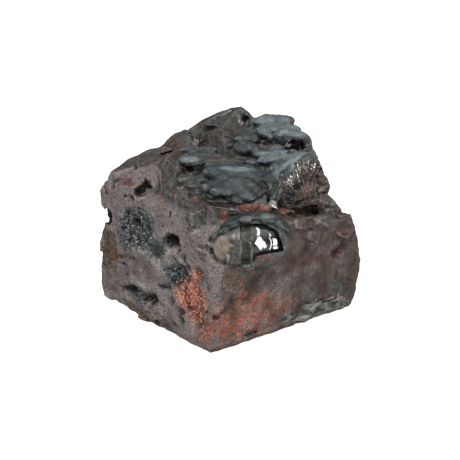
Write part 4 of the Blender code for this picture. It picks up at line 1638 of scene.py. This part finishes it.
def cells(tree, where, spacing, feature="F1"):
    inputs = {"Vector": where, "Scale": 1 / (spacing * MM)}
    return add(tree, "ShaderNodeTexVoronoi", inputs, feature=feature)


def stretched(tree, where, turn, stretch):
    """Coordinates turned by degrees, then drawn out by each axis's factor."""
    inputs = {
        "Vector": where,
        "Rotation": tuple(math.radians(d) for d in turn),
        "Scale": stretch,
    }
    return add(tree, "ShaderNodeMapping", inputs, vector_type="TEXTURE").outputs["Vector"]


def attribute(tree, name):
    return add(tree, "ShaderNodeAttribute", attribute_name=name).outputs["Fac"]


def object_places(tree):
    return add(tree, "ShaderNodeTexCoord").outputs["Object"]


def bumped(tree, height, depth_mm, normal=None):
    inputs = {"Height": height, "Distance": depth_mm * MM, "Strength": 1.0}
    if normal:
        inputs["Normal"] = normal
    return add(tree, "ShaderNodeBump", inputs).outputs["Normal"]


def new_material(name, **sockets):
    """A material with a Principled shader whose plain sockets are set."""
    material = bpy.data.materials.new(name)
    material.use_nodes = True
    shader = material.node_tree.nodes["Principled BSDF"]
    for key, value in sockets.items():
        shader.inputs[key.replace("_", " ")].default_value = value
    return material, material.node_tree, shader


def feed(tree, shader, **sockets):
    for key, value in sockets.items():
        tree.links.new(value, shader.inputs[key.replace("_", " ")])


def group_of(name, ins, outs):
    group = bpy.data.node_groups.new(name, "ShaderNodeTree")
    for label, kind, start in ins:
        made = group.interface.new_socket(name=label, in_out="INPUT", socket_type=kind)
        made.default_value = start
    for label, kind in outs:
        group.interface.new_socket(name=label, in_out="OUTPUT", socket_type=kind)
    inner = group.nodes.new("NodeGroupInput")
    outer = group.nodes.new("NodeGroupOutput")
    return group, inner.outputs, outer.inputs


def hollow_shade_and_wear_group():
    """Darkens a colour in the skin's hollows with painted shade and pales it on the ridges as wear."""
    group, ins, outs = group_of(
        "hollow_shade_and_wear",
        (
            ("Color", "NodeSocketColor", (0.1, 0.1, 0.1, 1)),
            ("Hollow Shade", "NodeSocketFloat", 0.6),
            ("Ridge Wear", "NodeSocketFloat", 0.4),
        ),
        (("Color", "NodeSocketColor"), ("Ridge", "NodeSocketFloat")),
    )
    where = object_places(group)
    rubbed = spread(group, grain(group, where, 0.7), 0.35, 0.65)
    low = sum_of(group, attribute(group, "hollow"), ins["Hollow Shade"], way="MULTIPLY")
    high = sum_of(group, attribute(group, "ridge"), ins["Ridge Wear"], way="MULTIPLY")
    high = sum_of(group, high, rubbed, way="MULTIPLY")
    # Painted shade in the hollows.
    shaded = blend(group, low, ins["Color"], HOLLOW_SHADE_TINT, way="MULTIPLY")
    pale = blend(group, high, shaded, RIDGE_TINT, way="SCREEN")
    group.links.new(pale, outs["Color"])
    group.links.new(high, outs["Ridge"])
    return group


def grit_group():
    """The ore's fine grit: its height, its dark speckle, pale flecks and tiny bright facets."""
    group, ins, outs = group_of(
        "grit",
        (("Vector", "NodeSocketVector", (0, 0, 0)),),
        (
            ("Height", "NodeSocketFloat"),
            ("Speckle", "NodeSocketFloat"),
            ("Fleck", "NodeSocketFloat"),
            ("Glint", "NodeSocketFloat"),
        ),
    )
    fine = grain(group, ins["Vector"], 0.5, 4.0, 0.75)
    coarse = grain(group, ins["Vector"], 1.6, 2.0, 0.6)
    pits = cells(group, ins["Vector"], 0.8).outputs["Distance"]
    height = sum_of(group, sum_of(group, fine, coarse), spread(group, pits, 0.05, 0.4))
    facets = cells(group, ins["Vector"], 0.42).outputs["Color"]
    pick = add(group, "ShaderNodeSeparateColor", {"Color": facets})
    group.links.new(height, outs["Height"])
    group.links.new(spread(group, fine, 0.5, 0.36), outs["Speckle"])
    group.links.new(spread(group, pick.outputs["Green"], 0.95, 0.98), outs["Fleck"])
    group.links.new(spread(group, pick.outputs["Red"], 0.93, 0.97), outs["Glint"])
    return group


def use(tree, group, inputs):
    made = tree.nodes.new("ShaderNodeGroup")
    made.node_tree = group
    set_inputs(tree, made, inputs)
    return made.outputs


def ore_finishes(tree, where, ragged):
    """The ore's finishes laid over one another by their masks: their colour and roughness."""
    along = stretched(tree, where, (0, 0, STREAK_HEADING), (STREAK_LENGTH, 1, 1))
    lined = grain(tree, along, 0.95, 3.0, 0.6)
    patchy = spread(tree, grain(tree, where, 5, 2.0), 0.35, 0.65, -0.05, 0.04)
    lined = sum_of(tree, lined, patchy)
    colour = None
    for finish, (dark, light, spacing, rough) in ORE_LOOKS.items():
        lightness = grain(tree, where, spacing, 4.0, 0.7)
        if finish == "shale":
            lightness = lined
        lightness = spread(tree, lightness, *FADES.get(finish, PLAIN_FADE))
        tint = blend(tree, lightness, dark, light)
        if colour is None:
            colour, roughness = tint, rough
            continue
        wavy = lined if finish == "streaks" else ragged
        wavy = spread(tree, wavy, 0.2, 0.8, -0.5, 0.5)
        edge = sum_of(tree, attribute(tree, finish), wavy)
        mask = spread(tree, edge, *EDGES.get(finish, PLAIN_EDGE))
        colour = blend(tree, mask, colour, tint)
        inputs = {0: mask, 2: roughness, 3: rough}
        roughness = add(tree, "ShaderNodeMix", inputs, data_type="FLOAT").outputs[0]
    return colour, roughness


def ore_marks(tree, where, ragged, gritty, colour):
    """The colour with the ore's dark speckle, its scratches and pits, red specks and pale flecks."""
    rough_part = sum_of(tree, attribute(tree, "mauve"), attribute(tree, "top"), way="MAXIMUM")
    amount = spread(tree, rough_part, 0, 1, 0.16, 0.5)
    dark = sum_of(tree, amount, gritty["Speckle"], way="MULTIPLY")
    colour = blend(tree, dark, colour, SPECKLE_DARK)
    mauve = sum_of(tree, attribute(tree, "mauve"), attribute(tree, "top"), way="SUBTRACT")
    slant = stretched(tree, where, (35, 0, 0), (1, 4, 1))
    scratches = spread(tree, grain(tree, slant, 0.45, 3.0, 0.6), 0.6, 0.68, 0, 0.75)
    shift = spread(tree, ragged, 0.2, 0.8, 0, 0.4)
    pits = sum_of(tree, cells(tree, where, 1.4).outputs["Distance"], shift)
    pits = spread(tree, pits, 0.36, 0.3, 0, 0.9)
    marks = sum_of(tree, scratches, pits, way="MAXIMUM")
    marks = sum_of(tree, marks, mauve, way="MULTIPLY")
    colour = blend(tree, marks, colour, SCRATCH_DARK)
    specks = spread(tree, grain(tree, where, 1.0, 4.0, 0.75), 0.66, 0.7, 0, 0.85)
    colour = blend(tree, specks, colour, SPECK_RED)
    flecks = sum_of(tree, gritty["Fleck"], mauve, way="MULTIPLY")
    flecks = sum_of(tree, flecks, spread(tree, ragged, 0.4, 0.6, 0, 0.5), way="MULTIPLY")
    return blend(tree, flecks, colour, FLECK_PALE)


def ore_material(hollow_shade_and_wear, grit):
    """Broken hematite ore, with its stains and vug linings, painted shade in its pits, vugs and crevices,
    and painted highlights.
    """
    material, tree, shader = new_material("broken_ore", Specular_IOR_Level=0.14)
    where = object_places(tree)
    ragged = grain(tree, where, 0.8, 3.0, 0.7)
    gritty = use(tree, grit, {"Vector": where})
    colour, roughness = ore_finishes(tree, where, ragged)
    colour = ore_marks(tree, where, ragged, gritty, colour)
    shaded_and_worn = use(tree, hollow_shade_and_wear, {"Color": colour, "Hollow Shade": 0.7, "Ridge Wear": 0.35})
    shiny = sum_of(tree, gritty["Glint"], 0.35, way="MULTIPLY")
    roughness = sum_of(tree, roughness, shiny, way="SUBTRACT")
    feed(
        tree, shader, Base_Color=shaded_and_worn["Color"], Roughness=roughness,
        Normal=bumped(tree, gritty["Height"], 0.22),
    )
    return material


def crust_material(hollow_shade_and_wear, grit):
    """The satin blue-grey skin of the botryoidal crust, with painted light where it faces up, painted
    shade where it faces down, and painted sheen in patches.
    """
    material, tree, shader = new_material("botryoidal_skin", Specular_IOR_Level=0.25)
    where = object_places(tree)
    cloud = spread(tree, grain(tree, where, 5, 3.0, 0.6), 0.35, 0.65)
    facing = add(tree, "ShaderNodeNewGeometry").outputs["Normal"]
    upward = add(tree, "ShaderNodeSeparateXYZ", {"Vector": facing}).outputs["Z"]
    # Painted light and shade: the colour runs from dark where the skin faces down to light where it faces
    # up.
    under = blend(tree, cloud, *CRUST_COLOURS["under"])
    over = blend(tree, cloud, *CRUST_COLOURS["over"])
    colour = blend(tree, spread(tree, upward, 0.0, 0.95), under, over)
    # Painted sheen: paler in patches, palest where the skin faces up.
    painted_sheen = blend(tree, cloud, *CRUST_COLOURS["painted_sheen"])
    painted_sheen = blend(tree, spread(tree, upward, 0.0, 0.9), under, painted_sheen)
    colour = blend(tree, attribute(tree, "painted_sheen"), colour, painted_sheen)
    blotch = spread(tree, grain(tree, where, 1.3, 4.0, 0.7), 0.55, 0.68)
    colour = blend(tree, blotch, colour, BLOTCH_GREY)
    earth = spread(tree, grain(tree, where, 0.9, 4.0, 0.7), 0.36, 0.64)
    earth = blend(tree, earth, *CRUST_COLOURS["valley"])
    colour = blend(tree, attribute(tree, "valley"), colour, earth)
    # The black stain, and the dark one under the pillows and in the crevice, lay painted shade.
    for stain, lightness in (("dark", cloud), ("rust", blotch), ("black", cloud)):
        tint = blend(tree, lightness, *CRUST_COLOURS[stain])
        colour = blend(tree, attribute(tree, stain), colour, tint)
    # A painted highlight.
    glint = spread(tree, attribute(tree, "glint"), 0.45, 0.6)
    colour = blend(tree, glint, colour, GLINT_WHITE)
    shaded_and_worn = use(tree, hollow_shade_and_wear, {"Color": colour, "Hollow Shade": 0.95, "Ridge Wear": 0.3})
    gritty = use(tree, grit, {"Vector": where})
    roughness = spread(tree, grain(tree, where, 1.8), 0.3, 0.7, 0.34, 0.55)
    feed(
        tree, shader, Base_Color=shaded_and_worn["Color"], Roughness=roughness,
        Normal=bumped(tree, gritty["Height"], 0.05),
    )
    return material


def facet_material(hollow_shade_and_wear):
    """The dome's split half: tan at the left, and a glossy grey-green, with painted shade in its recess
    and a painted reflection strip.
    """
    material, tree, shader = new_material("split_facet", Specular_IOR_Level=0.28)
    where = object_places(tree)
    cloud = spread(tree, grain(tree, where, 1.6, 4.0, 0.65), 0.36, 0.64)
    colour = blend(tree, cloud, *FACET_COLOURS["plain"])
    for stain in ("dark", "tan"):
        tint = blend(tree, cloud, *FACET_COLOURS[stain])
        colour = blend(tree, attribute(tree, stain), colour, tint)
    shaded_and_worn = use(tree, hollow_shade_and_wear, {"Color": colour, "Hollow Shade": 0.9, "Ridge Wear": 0.6})
    roughness = spread(tree, grain(tree, where, 1.8), 0.35, 0.65, 0.16, 0.36)
    feed(
        tree, shader, Base_Color=shaded_and_worn["Color"], Roughness=roughness,
        Normal=bumped(tree, grain(tree, where, 0.7), 0.05),
    )
    return material


def drawn_out(tree, rays, stretch, detail):
    """Noise drawn out along the rays."""
    along = stretched(tree, rays, (0, 0, 0), stretch)
    inputs = {"Vector": along, "Scale": 1.0, "Detail": detail}
    return add(tree, "ShaderNodeTexNoise", inputs).outputs["Fac"]


def fan_material(hollow_shade_and_wear):
    """Fibres that ray out of the split botryoid's middle, glossy at the top left of its rim, with painted
    reflections there.
    """
    material, tree, shader = new_material("fibre_fan", Specular_IOR_Level=0.2)
    rays = add(tree, "ShaderNodeUVMap", uv_map="rays").outputs["UV"]
    fine = drawn_out(tree, rays, *FIBRE_NOISE)
    bands = drawn_out(tree, rays, *BAND_NOISE)
    lightness = spread(tree, fine, 0.35, 0.65)
    colour = blend(tree, lightness, *FAN_COLOURS["fibres"])
    colour = blend(tree, spread(tree, bands, 0.5, 0.62), colour, BAND_BROWN)
    rib = blend(tree, lightness, *FAN_COLOURS["rib"])
    colour = blend(tree, attribute(tree, "rib"), colour, rib)
    # Painted shade in the pockets and crevices.
    colour = blend(tree, attribute(tree, "dark"), colour, CREVICE_SHADE)
    gloss_and_sheen = attribute(tree, "gloss_and_sheen")
    # Painted reflections: dark and bright streaks along the glossy fibres.
    painted_sheen_streaks = sum_of(tree, gloss_and_sheen, spread(tree, fine, 0.55, 0.62), way="MULTIPLY")
    dark = sum_of(tree, gloss_and_sheen, spread(tree, fine, 0.5, 0.42), way="MULTIPLY")
    colour = blend(tree, dark, colour, PAINTED_SHEEN_DARK)
    colour = blend(tree, painted_sheen_streaks, colour, PAINTED_SHEEN_BRIGHT)
    where = object_places(tree)
    cloud = spread(tree, grain(tree, where, 2.5, 4.0, 0.7), 0.36, 0.64)
    skin = blend(tree, cloud, *FAN_COLOURS["skin"])
    colour = blend(tree, attribute(tree, "face"), skin, colour)
    shaded_and_worn = use(tree, hollow_shade_and_wear, {"Color": colour, "Hollow Shade": 0.6, "Ridge Wear": 0.4})
    roughness = spread(tree, gloss_and_sheen, 0, 1, 0.5, 0.22)
    feed(
        tree, shader, Base_Color=shaded_and_worn["Color"], Roughness=roughness,
        Normal=bumped(tree, fine, 0.15),
    )
    return material


def plain_material(name):
    """A finish of one cloud of two colours, by its name among the plain looks."""
    settings, dark, light, cloud, rough, bumps = PLAIN_LOOKS[name]
    material, tree, shader = new_material(name, **settings)
    where = object_places(tree)
    tint = spread(tree, grain(tree, where, cloud[0]), *cloud[1:])
    colour = blend(tree, tint, dark, light)
    roughness = spread(tree, grain(tree, where, rough[0]), *rough[1:])
    feed(tree, shader, Base_Color=colour, Roughness=roughness)
    if bumps:
        noise_of, depth_mm = bumps
        feed(tree, shader, Normal=bumped(tree, grain(tree, where, *noise_of), depth_mm))
    return material


# The finished pieces


def riding(name, mesh, material):
    """The mesh as a piece of one material that rides on the lump."""
    mesh.name = name
    mesh.materials.clear()
    mesh.materials.append(material)
    obj = linked(name, mesh)
    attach(obj, "root")
    return obj


def finished(name, mesh, material):
    """The piece as an object at the frame's origin, in metres, riding on the lump."""
    mesh.transform(Matrix.Scale(MM, 4) @ Matrix.Translation((-MIDDLE[0], -MIDDLE[1], 0)))
    mesh.shade_smooth()
    return riding(name, mesh, material)


def strewing_tree():
    """Strews turned grains over the skin where a mask is high."""
    tree = bpy.data.node_groups.new("strewn_grains", "GeometryNodeTree")
    sockets = (
        ("Geometry", "NodeSocketGeometry", None),
        ("Grain", "NodeSocketObject", None),
        ("Mask", "NodeSocketString", ""),
        ("Density", "NodeSocketFloat", 1.0e6),
        ("Smallest", "NodeSocketFloat", 0.0002),
        ("Largest", "NodeSocketFloat", 0.0006),
        ("Seed", "NodeSocketInt", 1),
        ("Laid", "NodeSocketBool", False),
        ("Lie", "NodeSocketString", ""),
        ("Material", "NodeSocketMaterial", None),
    )
    for label, kind, start in sockets:
        made = tree.interface.new_socket(name=label, in_out="INPUT", socket_type=kind)
        if start is not None:
            made.default_value = start
    tree.interface.new_socket(name="Geometry", in_out="OUTPUT", socket_type="NodeSocketGeometry")
    ins = tree.nodes.new("NodeGroupInput").outputs
    outs = tree.nodes.new("NodeGroupOutput").inputs
    mask = add(
        tree, "GeometryNodeInputNamedAttribute", {"Name": ins["Mask"]}, data_type="FLOAT"
    ).outputs["Attribute"]
    density = sum_of(tree, ins["Density"], sum_of(tree, mask, 2.0, way="POWER"), way="MULTIPLY")
    points = add(
        tree, "GeometryNodeDistributePointsOnFaces",
        {"Mesh": ins["Geometry"], "Density": density, "Seed": ins["Seed"]},
    )
    grain_geometry = add(tree, "GeometryNodeObjectInfo", {"Object": ins["Grain"]})
    size = add(
        tree, "FunctionNodeRandomValue",
        {2: ins["Smallest"], 3: ins["Largest"], "Seed": ins["Seed"]}, data_type="FLOAT",
    ).outputs[1]
    turn = add(
        tree, "FunctionNodeRandomValue",
        {0: (0, 0, 0), 1: (TURN, TURN, TURN), "Seed": ins["Seed"]}, data_type="FLOAT_VECTOR",
    ).outputs[0]
    lie = add(
        tree, "GeometryNodeInputNamedAttribute", {"Name": ins["Lie"]}, data_type="FLOAT_VECTOR"
    ).outputs["Attribute"]
    laid = add(
        tree, "FunctionNodeAlignRotationToVector", {"Vector": lie, "Rotation": turn}, axis="X"
    ).outputs["Rotation"]
    turn = add(
        tree, "GeometryNodeSwitch", {"Switch": ins["Laid"], "False": turn, "True": laid},
        input_type="ROTATION",
    ).outputs["Output"]
    placed = add(
        tree, "GeometryNodeInstanceOnPoints",
        {
            "Points": points.outputs["Points"],
            "Instance": grain_geometry.outputs["Geometry"],
            "Rotation": turn,
            "Scale": size,
        },
    ).outputs["Instances"]
    real = add(tree, "GeometryNodeRealizeInstances", {"Geometry": placed}).outputs["Geometry"]
    done = add(
        tree, "GeometryNodeSetMaterial", {"Geometry": real, "Material": ins["Material"]}
    ).outputs["Geometry"]
    tree.links.new(done, outs["Geometry"])
    return tree


def crystal_mesh(kind):
    """One grain about a unit in size: a stubby crystal, a long blade that lies flat, or a crumb."""
    bm = bmesh.new()
    if kind in PRISMS:
        sides, foot, tip, length = PRISMS[kind]
        laid = Matrix.Rotation(math.pi / 2 if kind == "blade" else 0, 4, "Y")
        bmesh.ops.create_cone(
            bm, segments=sides, radius1=foot, radius2=tip, depth=length, cap_ends=True, matrix=laid
        )
        bmesh.ops.triangulate(bm, faces=bm.faces[:])
    else:
        bmesh.ops.create_icosphere(bm, subdivisions=1, radius=0.5)
        for i, vert in enumerate(bm.verts):
            vert.co *= 1 + CRUMB_ROUGHNESS * noise.noise(Vector((i * CRUMB_STEP, 2, 5)))
    mesh = bpy.data.meshes.new(kind)
    bm.to_mesh(mesh)
    bm.free()
    return mesh


def strewn(name, carrier, tree, material):
    """Grains strewn over a finished piece, as a plain mesh."""
    kind, mask, density, sizes, seed, lie = GRAINS[name]
    holder = linked(name, carrier.data)
    grain_object = linked(kind, crystal_mesh(kind))
    modifier = holder.modifiers.new("strewn", "NODES")
    modifier.node_group = tree
    values = {
        "Grain": grain_object, "Mask": mask, "Density": density / MM**2,
        "Smallest": sizes[0] * MM, "Largest": sizes[1] * MM, "Seed": seed, "Material": material,
        "Laid": bool(lie), "Lie": lie,
    }
    for item in tree.interface.items_tree:
        if item.in_out == "INPUT" and item.name in values:
            modifier[item.identifier] = values[item.name]
    graph = bpy.context.evaluated_depsgraph_get()
    mesh = bpy.data.meshes.new_from_object(holder.evaluated_get(graph))
    bpy.data.objects.remove(holder)
    bpy.data.objects.remove(grain_object)
    return riding(name, mesh, material)


# The studio


def make_floor():
    """A pale floor that looks white from the camera and throws back less light than it shows."""
    material, tree, shader = new_material("pale_floor", Roughness=0.9, Emission_Color=(1, 1, 1, 1))
    where = object_places(tree)
    colour = blend(tree, grain(tree, where, FLOOR_SPOTS_MM), *FLOOR_COLOURS)
    seen = add(tree, "ShaderNodeLightPath").outputs["Is Camera Ray"]
    glow = sum_of(tree, seen, FLOOR_GLOW, way="MULTIPLY")
    feed(tree, shader, Base_Color=colour, Emission_Strength=glow)
    mesh = bpy.data.meshes.new("floor")
    half = FLOOR_MM * MM / 2
    mesh.from_pydata(
        [(-half, -half, 0), (half, -half, 0), (half, half, 0), (-half, half, 0)],
        [],
        [(0, 1, 2, 3)],
    )
    mesh.materials.append(material)
    linked("floor", mesh)


def set_world():
    """A white tent, bright overhead and dim towards its foot, with a white backdrop."""
    world = bpy.data.worlds.new("white_tent")
    world.use_nodes = True
    bpy.context.scene.world = world
    tree = world.node_tree
    where = add(tree, "ShaderNodeTexCoord").outputs["Generated"]
    height = add(tree, "ShaderNodeSeparateXYZ", {"Vector": where}).outputs["Z"]
    tent = spread(tree, height, *TENT_FADE, *TENT_GLOW)
    seen = add(tree, "ShaderNodeLightPath").outputs["Is Camera Ray"]
    glow = sum_of(tree, tent, seen, way="MAXIMUM")
    tree.links.new(glow, tree.nodes["Background"].inputs["Strength"])
    tree.nodes["Background"].inputs["Color"].default_value = (1, 1, 1, 1)
    bpy.context.scene.view_settings.view_transform = "Standard"


def make_windows(core):
    """Bright openings in the tent, each where the core mirrors it to the camera at its pixels."""
    skin = skin_of(core)
    material, tree, shader = new_material("bright_window", Emission_Color=(1, 1, 1, 1))
    where = object_places(tree)
    cloud = grain(tree, where, WINDOW_CLOUD_MM)
    glow = spread(tree, cloud, 0.3, 0.7, WINDOW_DIMMEST * WINDOW_GLOW, WINDOW_GLOW)
    feed(tree, shader, Emission_Strength=glow)
    for name, corners in WINDOWS_PX.items():
        rays = []
        for pixel in corners:
            way = sight(pixel)
            hit, normal, _, _ = skin.ray_cast(EYE, way)
            rays.append((hit, way.reflect(normal)))
        far = min((hit.z - WINDOW_LOW_MM) / max(-ray.z, 0.001) for hit, ray in rays)
        far = min(far, WINDOW_FAR_MM)
        places = [in_frame(hit + ray * far) for hit, ray in rays]
        mesh = bpy.data.meshes.new(name)
        mesh.from_pydata(places, [], [tuple(range(len(places)))])
        mesh.materials.append(material)
        window = linked(name, mesh)
        window.visible_camera = False
        window.visible_diffuse = False
        window.visible_shadow = False


def soft_light(name, place, aim, size, power, mirrored):
    """A square soft light, its place and aim in millimetres about the lump."""
    light = bpy.data.lights.new(name, "AREA")
    light.shape = "RECTANGLE"
    light.size = size[0] * MM
    light.size_y = size[1] * MM
    light.energy = power
    obj = linked(name, light)
    obj.location = in_frame(place)
    obj.visible_glossy = mirrored
    obj.rotation_mode = "QUATERNION"
    obj.rotation_quaternion = (Vector(aim) - Vector(place)).to_track_quat("-Z", "Y")


# The whole


def main():
    set_camera()
    set_world()
    make_floor()
    for name, light in LIGHTS.items():
        soft_light(name, *light)
    hollow_shade_and_wear = hollow_shade_and_wear_group()
    grit = grit_group()
    skin = carrier()
    block = finished("block", block_mesh(skin), ore_material(hollow_shade_and_wear, grit))
    crust = crust_mesh(skin)
    # Flakes of painted glint.
    finished("flakes", flakes(crust), plain_material("painted_glint_flakes"))
    crust = finished("crust", crust, crust_material(hollow_shade_and_wear, grit))
    core = dome_core_mesh()
    make_windows(core)
    finished("dome_core", core, plain_material("black_core"))
    finished("dome_body", dome_body_mesh(skin), facet_material(hollow_shade_and_wear))
    finished("dome_shells", shell_mesh(skin), crust.data.materials[0])
    fan = finished("fan", fan_mesh(), fan_material(hollow_shade_and_wear))
    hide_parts("hematite")
    strewing = strewing_tree()
    strewn("vug_crystals", block, strewing, plain_material("vug_crystals"))
    strewn("ochre_crumbs", block, strewing, plain_material("ochre_crumbs"))
    strewn("fan_blades", fan, strewing, plain_material("steely_blades"))


main()
